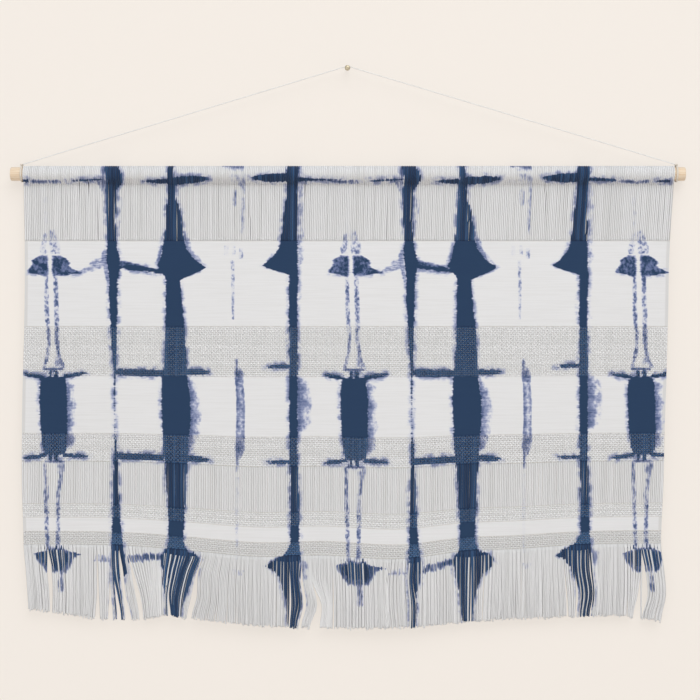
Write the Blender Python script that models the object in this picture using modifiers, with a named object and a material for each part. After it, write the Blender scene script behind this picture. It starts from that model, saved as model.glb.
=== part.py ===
"""A handwoven wall hanging on a wooden rod, with its fringe, its hanging cord and its wall nail.

The cloth's end loops go round the rod and close up under it, so its warp goes on as a front and a
back leg down to the first weft. Plain and open bands follow to the hem, where the fringe begins.
Metres, +Z up, +X to the right as seen from the front, and -Y towards the viewer. The wall is the
plane y = 0, and the origin is where the nail enters it. "Drop" is a distance down from there.
"""

import math
from typing import NamedTuple

import bmesh
import bpy
import numpy as np

MM = 0.001
TOUCHING_GAP = 0.3 * MM
MERGE_DISTANCE = 0.01 * MM

# Rod
ROD_RADIUS = 8.3 * MM
ROD_LEFT, ROD_RIGHT = -412.9 * MM, 414.1 * MM
ROD_DROP = 130.0 * MM
ROD_Y = -11.8 * MM
ROD_EDGE_ROUNDING = 1.2 * MM
ROD_EDGE_ANGLE = math.radians(60)
ROD_SIDES = 32

# Cloth
CLOTH_THICKNESS = 2.0 * MM
FIRST_WEFT_DROP = 212.3 * MM
HEM_DROP = 584.0 * MM
OPEN_SHARE = 0.8
LOOP_CLEARANCE = 0.4 * MM
LOOP_STEPS = 14
NECK_ANGLE = math.radians(24)
NECK_DEPTH = 3.5 * MM
CLOTH_COLUMNS = 36
BAND_STEP = 1.2 * MM

# Wave of the lower cloth
WAVE_START_DROP = 330.0 * MM
WAVE_GROWTH = 1.5
WAVE_FORWARD_SHARE = 0.3

# Fringe
STRAND_COUNT = 180
STRAND_STEPS = 3
STRIP_HEIGHT = 2.5 * MM
TIP_WIDTH_SHARE = 0.55
CLUMP_REACH = 17.0 * MM

# Hanging cord and its ties
CORD_RADIUS = 0.75 * MM
TIE_TURN_PITCH = 1.3 * MM
TIE_LEFT, TIE_RIGHT = -399.6 * MM, 403.3 * MM
TIE_STEPS, TIE_SIDES = 24, 8
KNOT_RADIUS = 1.9 * MM
KNOT_STEPS, KNOT_RINGS = 12, 8
CORD_OVER_NAIL = 2.3 * MM

# Nail
NAIL_SHANK_RADIUS = 1.25 * MM
NAIL_HEAD_RADIUS = 3.4 * MM
NAIL_HEAD_RIM = 0.5 * MM
NAIL_DOME_HEIGHT = 1.9 * MM
NAIL_PROUD = 13.2 * MM
NAIL_IN_WALL = 16.0 * MM
NAIL_POINT = 3.5 * MM
NAIL_STEPS, DOME_STEPS = 24, 4


class Band(NamedTuple):
    """A band of the weave: where it starts, and its thickness as a share of the plain weave's."""

    name: str
    top_drop: float
    share: float


BANDS = (
    Band("upper plain", FIRST_WEFT_DROP, 1.0),
    Band("upper mesh", 317.2 * MM, OPEN_SHARE),
    Band("middle plain", 377.9 * MM, 1.0),
    Band("middle mesh", 447.9 * MM, OPEN_SHARE),
    Band("bare warp", 482.2 * MM, OPEN_SHARE),
    Band("lower mesh", 534.4 * MM, OPEN_SHARE),
    Band("lower plain", 551.4 * MM, 1.0),
    Band("hem mesh", 568.1 * MM, OPEN_SHARE),
)


class Side(NamedTuple):
    """The cloth's left and right edges at one drop."""

    drop: float
    left: float
    right: float


SIDES = (
    Side(130.0 * MM, -397.5 * MM, 401.2 * MM),
    Side(162.0 * MM, -397.0 * MM, 399.2 * MM),
    Side(212.0 * MM, -396.0 * MM, 395.7 * MM),
    Side(309.0 * MM, -396.5 * MM, 393.3 * MM),
    Side(378.0 * MM, -398.2 * MM, 391.4 * MM),
    Side(448.0 * MM, -399.3 * MM, 389.0 * MM),
    Side(505.0 * MM, -399.6 * MM, 387.9 * MM),
    Side(585.0 * MM, -397.5 * MM, 384.7 * MM),
)


class Wave(NamedTuple):
    """How far the hem hangs below its mean line at one place across the cloth."""

    x: float
    sag: float


HEM_WAVE = (
    Wave(-400.0 * MM, 0.0),
    Wave(-255.0 * MM, 2.5 * MM),
    Wave(-193.0 * MM, 7.5 * MM),
    Wave(-107.0 * MM, 14.7 * MM),
    Wave(-34.0 * MM, 13.0 * MM),
    Wave(68.0 * MM, 17.2 * MM),
    Wave(150.0 * MM, 7.5 * MM),
    Wave(200.0 * MM, 5.8 * MM),
    Wave(273.0 * MM, 1.0 * MM),
    Wave(400.0 * MM, -1.2 * MM),
)


class Tip(NamedTuple):
    """How deep the fringe's tips hang at one place across the cloth."""

    x: float
    drop: float


FRINGE_TIPS = (
    Tip(-398.0 * MM, 664.0 * MM),
    Tip(-365.0 * MM, 668.0 * MM),
    Tip(-283.0 * MM, 677.0 * MM),
    Tip(-212.0 * MM, 671.5 * MM),
    Tip(-132.0 * MM, 682.0 * MM),
    Tip(-70.0 * MM, 686.0 * MM),
    Tip(15.0 * MM, 687.0 * MM),
    Tip(70.0 * MM, 686.0 * MM),
    Tip(138.0 * MM, 680.0 * MM),
    Tip(273.0 * MM, 673.5 * MM),
    Tip(334.0 * MM, 672.5 * MM),
    Tip(386.0 * MM, 678.5 * MM),
)


class Parting(NamedTuple):
    """A place where the fringe parts: its middle, its width at the tips, and where it opens, 0 root to 1 tip."""

    x: float
    width: float
    opens: float


PARTINGS = (
    Parting(-366.0 * MM, 9.0 * MM, 0.05),
    Parting(-302.0 * MM, 11.0 * MM, 0.2),
    Parting(-277.0 * MM, 6.0 * MM, 0.3),
    Parting(-252.0 * MM, 6.0 * MM, 0.3),
    Parting(-189.0 * MM, 8.0 * MM, 0.35),
    Parting(-36.0 * MM, 11.0 * MM, 0.35),
    Parting(151.0 * MM, 4.0 * MM, 0.3),
    Parting(363.0 * MM, 9.0 * MM, 0.3),
)

# The cord's route over the nail, as (x, drop) in the plane of the rod's axis, from tie to tie
CORD_ROUTE = (
    (-399.6 * MM, 118.6 * MM),
    (-340.0 * MM, 100.2 * MM),
    (-280.0 * MM, 82.1 * MM),
    (-220.0 * MM, 64.0 * MM),
    (-160.0 * MM, 45.8 * MM),
    (-100.0 * MM, 27.7 * MM),
    (-50.0 * MM, 12.6 * MM),
    (-20.0 * MM, 3.5 * MM),
    (-8.0 * MM, -0.05 * MM),
    (-4.0 * MM, -1.25 * MM),
    (-2.0 * MM, -1.95 * MM),
    (0.0 * MM, -CORD_OVER_NAIL),
    (2.0 * MM, -1.95 * MM),
    (4.0 * MM, -1.25 * MM),
    (8.0 * MM, -0.05 * MM),
    (20.0 * MM, 3.5 * MM),
    (50.0 * MM, 12.5 * MM),
    (100.0 * MM, 27.4 * MM),
    (160.0 * MM, 45.4 * MM),
    (220.0 * MM, 63.4 * MM),
    (280.0 * MM, 81.3 * MM),
    (340.0 * MM, 99.3 * MM),
    (403.3 * MM, 118.6 * MM),
)


def smooth(at, table, column):
    """Reads one column of a table with a smooth curve through its rows, flat at both ends."""
    keys = [row[0] for row in table]
    values = [getattr(row, column) for row in table]
    at = min(max(at, keys[0]), keys[-1])
    slopes = np.gradient(values, keys)
    slopes[0] = slopes[-1] = 0.0
    i = min(int(np.searchsorted(keys, at, side="right")) - 1, len(keys) - 2)
    span = keys[i + 1] - keys[i]
    t = (at - keys[i]) / span
    rise = t * t * (3 - 2 * t)
    return float(
        values[i] * (1 - rise)
        + values[i + 1] * rise
        + span * (t**3 - 2 * t**2 + t) * slopes[i]
        + span * (t**3 - t**2) * slopes[i + 1]
    )


def ease(t):
    """0 below 0, 1 above 1, and a smooth step between."""
    t = min(max(t, 0.0), 1.0)
    return t * t * (3 - 2 * t)


def hung(x, y, drop):
    """Lowers and brings forward a point of the flat cloth, by the wave that grows towards the hem."""
    growth = max(0.0, (drop - WAVE_START_DROP) / (HEM_DROP - WAVE_START_DROP)) ** WAVE_GROWTH
    sag = smooth(x, HEM_WAVE, "sag") * growth
    return x, y - WAVE_FORWARD_SHARE * sag, -(drop + sag)


def across(u, drop):
    """The x of a column of the cloth, from 0 at its left edge to 1 at its right."""
    left, right = smooth(drop, SIDES, "left"), smooth(drop, SIDES, "right")
    return left + (right - left) * u


def material(name, color, roughness, metallic=0.0):
    made = bpy.data.materials.new(name)
    made.use_nodes = True
    shader = made.node_tree.nodes["Principled BSDF"]
    shader.inputs["Base Color"].default_value = (*color, 1.0)
    shader.inputs["Roughness"].default_value = roughness
    shader.inputs["Metallic"].default_value = metallic
    return made


def place(piece, name, finish, home):
    """Names a piece, gives it its material and moves it into its collection."""
    piece.name = piece.data.name = name
    piece.data.materials.append(finish)
    for old in list(piece.users_collection):
        old.objects.unlink(piece)
    home.objects.link(piece)
    return piece


def cloth_stations():
    """The cloth's section from the end of its back leg, over the rod and down to the hem, as (y, drop, share)."""
    radius = ROD_RADIUS + LOOP_CLEARANCE + OPEN_SHARE * CLOTH_THICKNESS / 2
    back_leg_y = ROD_Y + OPEN_SHARE * CLOTH_THICKNESS + TOUCHING_GAP
    neck_drop = ROD_DROP + radius + NECK_DEPTH
    stations = [
        (back_leg_y, FIRST_WEFT_DROP - BAND_STEP, OPEN_SHARE),
        (back_leg_y, neck_drop, OPEN_SHARE),
    ]
    for step in range(LOOP_STEPS + 1):
        angle = NECK_ANGLE + (2 * math.pi - 2 * NECK_ANGLE) * step / LOOP_STEPS
        stations.append(
            (ROD_Y + radius * math.sin(angle), ROD_DROP + radius * math.cos(angle), OPEN_SHARE)
        )
    stations.append((ROD_Y, neck_drop, OPEN_SHARE))
    before = OPEN_SHARE
    for band in BANDS:
        if band.share != before:
            stations.append((ROD_Y, band.top_drop - BAND_STEP / 2, before))
            stations.append((ROD_Y, band.top_drop + BAND_STEP / 2, band.share))
        else:
            stations.append((ROD_Y, band.top_drop, band.share))
        before = band.share
    stations.append((ROD_Y, HEM_DROP, before))
    return stations


def make_rod(finish, home):
    bpy.ops.mesh.primitive_cylinder_add(
        vertices=ROD_SIDES,
        radius=ROD_RADIUS,
        depth=ROD_RIGHT - ROD_LEFT,
        location=((ROD_LEFT + ROD_RIGHT) / 2, ROD_Y, -ROD_DROP),
        rotation=(0, math.pi / 2, 0),
    )
    rod = place(bpy.context.object, "rod", finish, home)
    rounding = rod.modifiers.new("rounded ends", "BEVEL")
    rounding.width = ROD_EDGE_ROUNDING
    rounding.segments = 2
    rounding.limit_method = "ANGLE"
    rounding.angle_limit = ROD_EDGE_ANGLE


def make_cloth(finish, home):
    """One sheet bent over the rod, thicker in its plain bands than in its loops and open bands."""
    stations = cloth_stations()
    rows = len(stations) - 1
    bpy.ops.mesh.primitive_grid_add(x_subdivisions=CLOTH_COLUMNS, y_subdivisions=rows, size=2)
    cloth = place(bpy.context.object, "woven_cloth", finish, home)
    thick = cloth.vertex_groups.new(name="thickness")
    for point in cloth.data.vertices:
        u = (point.co.x + 1) / 2
        y, drop, share = stations[round((point.co.y + 1) / 2 * rows)]
        point.co = hung(across(u, drop), y, drop)
        thick.add([point.index], share, "REPLACE")
    wall = cloth.modifiers.new("cloth thickness", "SOLIDIFY")
    wall.thickness = CLOTH_THICKNESS
    wall.offset = 0
    wall.use_even_offset = True
    wall.vertex_group = thick.name
    wall.thickness_vertex_group = 0.0


def strand_place(root_x, share_down):
    """The x of a strand at a share of its length, drawn into the locks between the partings."""
    x = root_x
    for parting in PARTINGS:
        away = root_x - parting.x
        opened = ease((share_down - parting.opens) / (1 - parting.opens))
        x += math.copysign(parting.width / 2, away) * math.exp(-abs(away) / CLUMP_REACH) * opened
    return x


def make_fringe(finish, home):
    """A narrow strip under the hem whose underside is drawn down, face by face, into the strands."""
    cells = 2 * STRAND_COUNT + 1
    strip_top = HEM_DROP + TOUCHING_GAP
    depth = OPEN_SHARE * CLOTH_THICKNESS
    mesh = bmesh.new()
    bmesh.ops.create_cube(mesh, size=1.0)
    long_edges = [e for e in mesh.edges if abs(e.verts[0].co.x - e.verts[1].co.x) > 0.5]
    bmesh.ops.subdivide_edges(mesh, edges=long_edges, cuts=cells - 1)
    strands = []
    for face in mesh.faces:
        cell = math.floor((face.calc_center_median().x + 0.5) * cells)
        if face.normal.z < -0.5 and cell % 2:
            strands.append(face)
    for point in mesh.verts:
        drop = strip_top + (0.5 - point.co.z) * STRIP_HEIGHT
        point.co = hung(across(point.co.x + 0.5, HEM_DROP), ROD_Y + point.co.y * depth, drop)
    strands.sort(key=lambda face: face.calc_center_median().x)
    roots = [face.calc_center_median() for face in strands]
    for step in range(1, STRAND_STEPS + 1):
        share_down = step / STRAND_STEPS
        narrowing = 1 - (1 - TIP_WIDTH_SHARE) * share_down**2
        before = 1 - (1 - TIP_WIDTH_SHARE) * ((step - 1) / STRAND_STEPS) ** 2
        drawn = bmesh.ops.extrude_discrete_faces(mesh, faces=strands)["faces"]
        strands = sorted(drawn, key=lambda face: face.calc_center_median().x)
        for face, root in zip(strands, roots):
            middle = face.calc_center_median()
            tip_drop = smooth(root.x, FRINGE_TIPS, "drop")
            target_x = strand_place(root.x, share_down)
            target_z = root.z + (-tip_drop - root.z) * share_down
            for point in face.verts:
                point.co.x = target_x + (point.co.x - middle.x) * narrowing / before
                point.co.z = target_z
    bmesh.ops.recalc_face_normals(mesh, faces=mesh.faces)
    data = bpy.data.meshes.new("fringe")
    mesh.to_mesh(data)
    mesh.free()
    fringe = bpy.data.objects.new("fringe", data)
    home.objects.link(fringe)
    place(fringe, "fringe", finish, home)


def make_tie(name, x, finish, home, tools):
    """Two turns of cord round the rod with the knot on top, joined into one solid."""
    turns = []
    for side in (-0.5, 0.5):
        bpy.ops.mesh.primitive_torus_add(
            major_radius=ROD_RADIUS + TOUCHING_GAP + CORD_RADIUS,
            minor_radius=CORD_RADIUS,
            major_segments=TIE_STEPS,
            minor_segments=TIE_SIDES,
            location=(x + side * TIE_TURN_PITCH, ROD_Y, -ROD_DROP),
            rotation=(0, math.pi / 2, 0),
        )
        turns.append(bpy.context.object)
    bpy.ops.mesh.primitive_uv_sphere_add(
        segments=KNOT_STEPS,
        ring_count=KNOT_RINGS,
        radius=KNOT_RADIUS,
        location=(x, ROD_Y, -CORD_ROUTE[0][1]),
    )
    knot = bpy.context.object
    tie = place(turns[0], name, finish, home)
    for number, tool in enumerate((turns[1], knot)):
        place(tool, f"{name}_tool_{number}", finish, tools)
        tool.hide_render = True
        tool.display_type = "WIRE"
        union = tie.modifiers.new("join", "BOOLEAN")
        union.operation = "UNION"
        union.object = tool


def cord_points():
    """The route with its two ends drawn back to the knots' faces."""
    points = [np.array((x, ROD_Y, -drop)) for x, drop in CORD_ROUTE]
    for end, inner in ((0, 1), (-1, -2)):
        towards = points[inner] - points[end]
        towards /= np.linalg.norm(towards)
        points[end] = points[end] + towards * (KNOT_RADIUS + TOUCHING_GAP)
    return points


def make_cord(finish, home):
    route = cord_points()
    data = bpy.data.curves.new("hanging_cord", "CURVE")
    data.dimensions = "3D"
    data.bevel_depth = CORD_RADIUS
    data.bevel_resolution = 2
    data.use_fill_caps = True
    line = data.splines.new("POLY")
    line.points.add(len(route) - 1)
    for point, at in zip(line.points, route):
        point.co = (*at, 1.0)
    cord = bpy.data.objects.new("hanging_cord", data)
    home.objects.link(cord)
    place(cord, "hanging_cord", finish, home)


def nail_profile():
    """Half of the nail's outline as (radius, height), from the dome's top down to the point."""
    points = []
    for step in range(DOME_STEPS + 1):
        angle = math.pi / 2 * (1 - step / DOME_STEPS)
        rise = NAIL_HEAD_RIM + NAIL_DOME_HEIGHT * math.sin(angle)
        points.append((NAIL_HEAD_RADIUS * math.cos(angle), NAIL_PROUD + rise))
    points[0] = (0.0, points[0][1])
    points.append((NAIL_HEAD_RADIUS, NAIL_PROUD))
    points.append((NAIL_SHANK_RADIUS, NAIL_PROUD))
    points.append((NAIL_SHANK_RADIUS, NAIL_POINT - NAIL_IN_WALL))
    points.append((0.0, -NAIL_IN_WALL))
    return points


def make_nail(finish, home):
    """A turned nail whose head faces the viewer."""
    outline = nail_profile()
    data = bpy.data.meshes.new("wall_nail")
    edges = [(i, i + 1) for i in range(len(outline) - 1)]
    data.from_pydata([(r, 0.0, height) for r, height in outline], edges, [])
    nail = bpy.data.objects.new("wall_nail", data)
    home.objects.link(nail)
    place(nail, "wall_nail", finish, home)
    nail.rotation_euler = (math.pi / 2, 0, 0)
    turning = nail.modifiers.new("turned", "SCREW")
    turning.steps = turning.render_steps = NAIL_STEPS
    turning.use_merge_vertices = True
    turning.merge_threshold = MERGE_DISTANCE
    turning.use_smooth_shade = True


def main():
    for old in list(bpy.data.objects):
        bpy.data.objects.remove(old)
    home = bpy.data.collections.new("wall_hanging")
    tools = bpy.data.collections.new("joining_tools")
    bpy.context.scene.collection.children.link(home)
    bpy.context.scene.collection.children.link(tools)
    wood = material("rod_wood", (0.78, 0.60, 0.40), 0.55)
    cotton = material("dyed_cloth", (0.74, 0.76, 0.80), 0.9)
    twine = material("cord_cotton", (0.88, 0.85, 0.80), 0.85)
    brass = material("nail_brass", (0.62, 0.56, 0.42), 0.4, metallic=1.0)
    make_rod(wood, home)
    make_cloth(cotton, home)
    make_fringe(cotton, home)
    make_tie("cord_tie_left", TIE_LEFT, twine, home, tools)
    make_tie("cord_tie_right", TIE_RIGHT, twine, home, tools)
    make_cord(twine, home)
    make_nail(brass, home)


main()
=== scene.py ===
"""A shibori dyed wall hanging on its dowel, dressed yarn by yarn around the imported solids.

Sizes are in millimetres and become metres when a piece's points are written. +X is to the right,
-Y towards the viewer and the wall is the plane y = 0. "Drop" is a distance below the nail. The flat
cloth is laid out by its place across (x) and its drop, then hung with the sag of its lower edge.
"""

import logging
import math
from collections.abc import Sequence
from dataclasses import dataclass, field
from enum import Enum
from typing import NamedTuple

import bmesh
import bpy
import numpy as np
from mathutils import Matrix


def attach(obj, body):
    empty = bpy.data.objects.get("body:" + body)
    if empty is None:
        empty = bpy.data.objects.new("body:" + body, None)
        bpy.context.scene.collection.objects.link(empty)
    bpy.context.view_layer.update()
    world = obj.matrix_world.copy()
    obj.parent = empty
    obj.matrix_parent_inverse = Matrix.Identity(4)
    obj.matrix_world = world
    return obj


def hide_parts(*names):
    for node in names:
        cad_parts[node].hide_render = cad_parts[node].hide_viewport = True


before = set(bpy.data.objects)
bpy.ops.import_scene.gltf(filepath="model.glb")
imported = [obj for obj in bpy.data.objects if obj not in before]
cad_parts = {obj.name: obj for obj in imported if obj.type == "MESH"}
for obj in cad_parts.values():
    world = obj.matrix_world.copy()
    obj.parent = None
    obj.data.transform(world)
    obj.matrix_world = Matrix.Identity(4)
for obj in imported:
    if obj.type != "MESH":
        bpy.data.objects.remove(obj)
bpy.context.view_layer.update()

LOG = logging.getLogger("wall_hanging")
MM = 0.001
BODY = "root"
SEED = 20
MERGE = LENGTHWISE = 0.00001
OUTSIDE = 30.0
UNDYED_SHIFT = 100 * OUTSIDE
Array = np.ndarray
Colour = tuple[int, int, int]
Piece = bpy.types.Object
Material = bpy.types.Material
Socket = bpy.types.NodeSocket


class Slot(Enum):
    """The record's material slots."""

    WOOD = "rod_wood"
    CLOTH = "dyed_cloth"
    CORD = "cord_cotton"
    NAIL = "nail_brass"


class Tone(Enum):
    """How the dye took in a mark, and the attribute that carries it."""

    NAVY = "dye"
    MOTTLE = "mottle"
    BLEED = "bleed"
    SPECK = "speck"


FADES = {Tone.MOTTLE: (-1.6, 3.0), Tone.SPECK: (-1.2, 1.0)}

# Cloth, rod and nail, as the solids have them

WARP_COUNT = 360
ROD_RADIUS, ROD_Y, ROD_DROP = 8.3, -11.8, 130.0
ROD_LEFT, ROD_RIGHT = -412.9, 414.1
FIRST_WEFT, HEM = 212.3, 584.0
WAVE_START, WAVE_GROWTH, WAVE_FORWARD = 330.0, 1.5, 0.3
RIPPLE, RIPPLE_START = 0.35, 25.0
RIPPLE_WAVES = ((43.0, 60.0, 1.0), (19.0, -35.0, 0.5))


class Side(NamedTuple):
    """The cloth's left and right edges at one drop."""

    drop: float
    left: float
    right: float


SIDES = (
    Side(130.0, -397.5, 401.2),
    Side(162.0, -397.0, 399.2),
    Side(212.0, -396.0, 395.7),
    Side(309.0, -396.5, 393.3),
    Side(378.0, -398.2, 391.4),
    Side(448.0, -399.3, 389.0),
    Side(505.0, -399.6, 387.9),
    Side(585.0, -397.5, 384.7),
)


class Reading(NamedTuple):
    """A height or a drop read at one place across the cloth."""

    x: float
    value: float


HEM_WAVE = (
    Reading(-400.0, 0.0),
    Reading(-255.0, 2.5),
    Reading(-193.0, 7.5),
    Reading(-107.0, 14.7),
    Reading(-34.0, 13.0),
    Reading(68.0, 17.2),
    Reading(150.0, 7.5),
    Reading(200.0, 5.8),
    Reading(273.0, 1.0),
    Reading(400.0, -1.2),
)
FRINGE_TIPS = (
    Reading(-398.0, 664.0),
    Reading(-365.0, 668.0),
    Reading(-283.0, 677.0),
    Reading(-212.0, 671.5),
    Reading(-132.0, 682.0),
    Reading(-70.0, 686.0),
    Reading(15.0, 687.0),
    Reading(70.0, 686.0),
    Reading(138.0, 680.0),
    Reading(273.0, 673.5),
    Reading(334.0, 672.5),
    Reading(386.0, 678.5),
)


class Lock(NamedTuple):
    """A lock of the fringe: its roots, and how far each side strays at a third, two thirds and the tip."""

    left: float
    right: float
    left_third: float
    left_two_thirds: float
    left_tip: float
    right_third: float
    right_two_thirds: float
    right_tip: float


LOCKS = (
    Lock(-399.0, -371.5, 2.5, 4.5, 5.5, 1.0, 4.0, 5.0),
    Lock(-367.5, -345.5, 5.0, 6.5, 5.5, 1.0, 2.5, 2.0),
    Lock(-344.5, -308.0, 0.0, 1.0, 0.5, 0.0, 0.0, -2.0),
    Lock(-307.0, -292.5, 2.0, 3.0, 4.0, 0.0, -0.5, -2.0),
    Lock(-292.0, -288.5, 1.0, 3.5, 5.5, 1.0, 3.5, 5.5),
    Lock(-288.0, -280.5, 0.5, 7.0, 11.0, 1.5, 5.0, 7.5),
    Lock(-280.0, -270.0, 5.0, 8.5, 15.0, 4.5, 11.0, 15.0),
    Lock(-269.5, -230.0, 8.0, 17.0, 20.0, 0.0, 0.5, 1.0),
    Lock(-230.0, -209.0, 0.0, 0.5, 1.0, -6.0, -11.0, -11.0),
    Lock(-208.5, -194.0, -4.5, -9.0, -7.0, -9.0, -16.0, -16.5),
    Lock(-193.5, -176.5, -9.0, -16.0, -16.0, -9.5, -15.5, -20.5),
    Lock(-176.0, -132.0, -7.0, -8.5, -15.0, -1.0, -2.0, -1.0),
    Lock(-132.0, -71.5, -1.0, -2.0, -1.0, 0.0, 0.0, -1.0),
    Lock(-70.5, -56.0, 2.0, 3.0, 1.0, -2.0, 1.0, -5.0),
    Lock(-55.5, -42.5, 1.0, 5.0, -1.0, -1.0, 5.0, -4.5),
    Lock(-42.0, -19.5, 0.0, 12.0, 9.5, 0.0, 0.5, 0.0),
    Lock(-18.5, 49.0, 2.0, 3.0, 3.0, 0.0, 1.0, 1.0),
    Lock(50.0, 71.0, -3.5, -3.5, -1.0, -1.0, 0.0, 1.0),
    Lock(71.5, 84.5, -1.5, 0.0, 0.5, -1.5, 3.0, 2.0),
    Lock(85.0, 136.5, 0.0, 1.0, 1.0, 0.0, 0.0, 0.0),
    Lock(137.0, 151.5, 0.0, 0.0, 1.0, -1.0, -1.5, -2.0),
    Lock(154.5, 168.0, 0.0, 0.0, 0.5, -1.0, -2.0, -3.0),
    Lock(169.0, 211.0, 0.0, -1.0, -2.0, 0.0, -0.5, -1.0),
    Lock(213.0, 265.5, 1.0, 1.0, 0.5, 0.0, 2.0, 3.0),
    Lock(266.0, 279.5, 1.0, 4.5, 6.0, 0.0, 1.0, -0.5),
    Lock(280.0, 296.5, 0.0, 4.0, 2.0, 0.0, 4.0, 0.0),
    Lock(297.0, 306.5, 2.0, 5.0, 2.0, 0.0, 2.0, 1.0),
    Lock(308.0, 344.5, 0.0, -1.0, -2.0, 0.0, 0.0, -1.0),
    Lock(345.0, 359.0, 0.0, 0.0, 0.0, 0.0, -4.0, -9.5),
    Lock(361.0, 387.0, 5.5, 8.0, 1.0, 3.5, 5.5, 0.5),
)


class Stripe(NamedTuple):
    """A dyed stripe down the cloth, repeated at its centres: rows of (drop, left, right) from a centre.

    A bleed is strong at its first side and gone at its second, which may lie on either hand.
    """

    tone: Tone
    centres: tuple[float, ...]
    rows: tuple[tuple[float, float, float], ...]
    strength: float = 1.0


class Stroke(NamedTuple):
    """A dyed stroke across the cloth, repeated at its centres, with how long each end tapers."""

    tone: Tone
    centres: tuple[float, ...]
    left: float
    left_drop: float
    right: float
    right_drop: float
    thickness: float
    left_taper: float
    right_taper: float
    strength: float = 1.0


# The fold-and-clamp pattern, charted: five stripes in a repeat, mirrored about the cloth's fold

CLAMPED = (-360.0, 9.0, 361.5)
NARROW = (-286.5, 78.0)
BROAD = (-210.5, 146.5)
FAINT = (-132.0, 220.0)
PLAIN = (-67.0, 289.0)

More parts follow.
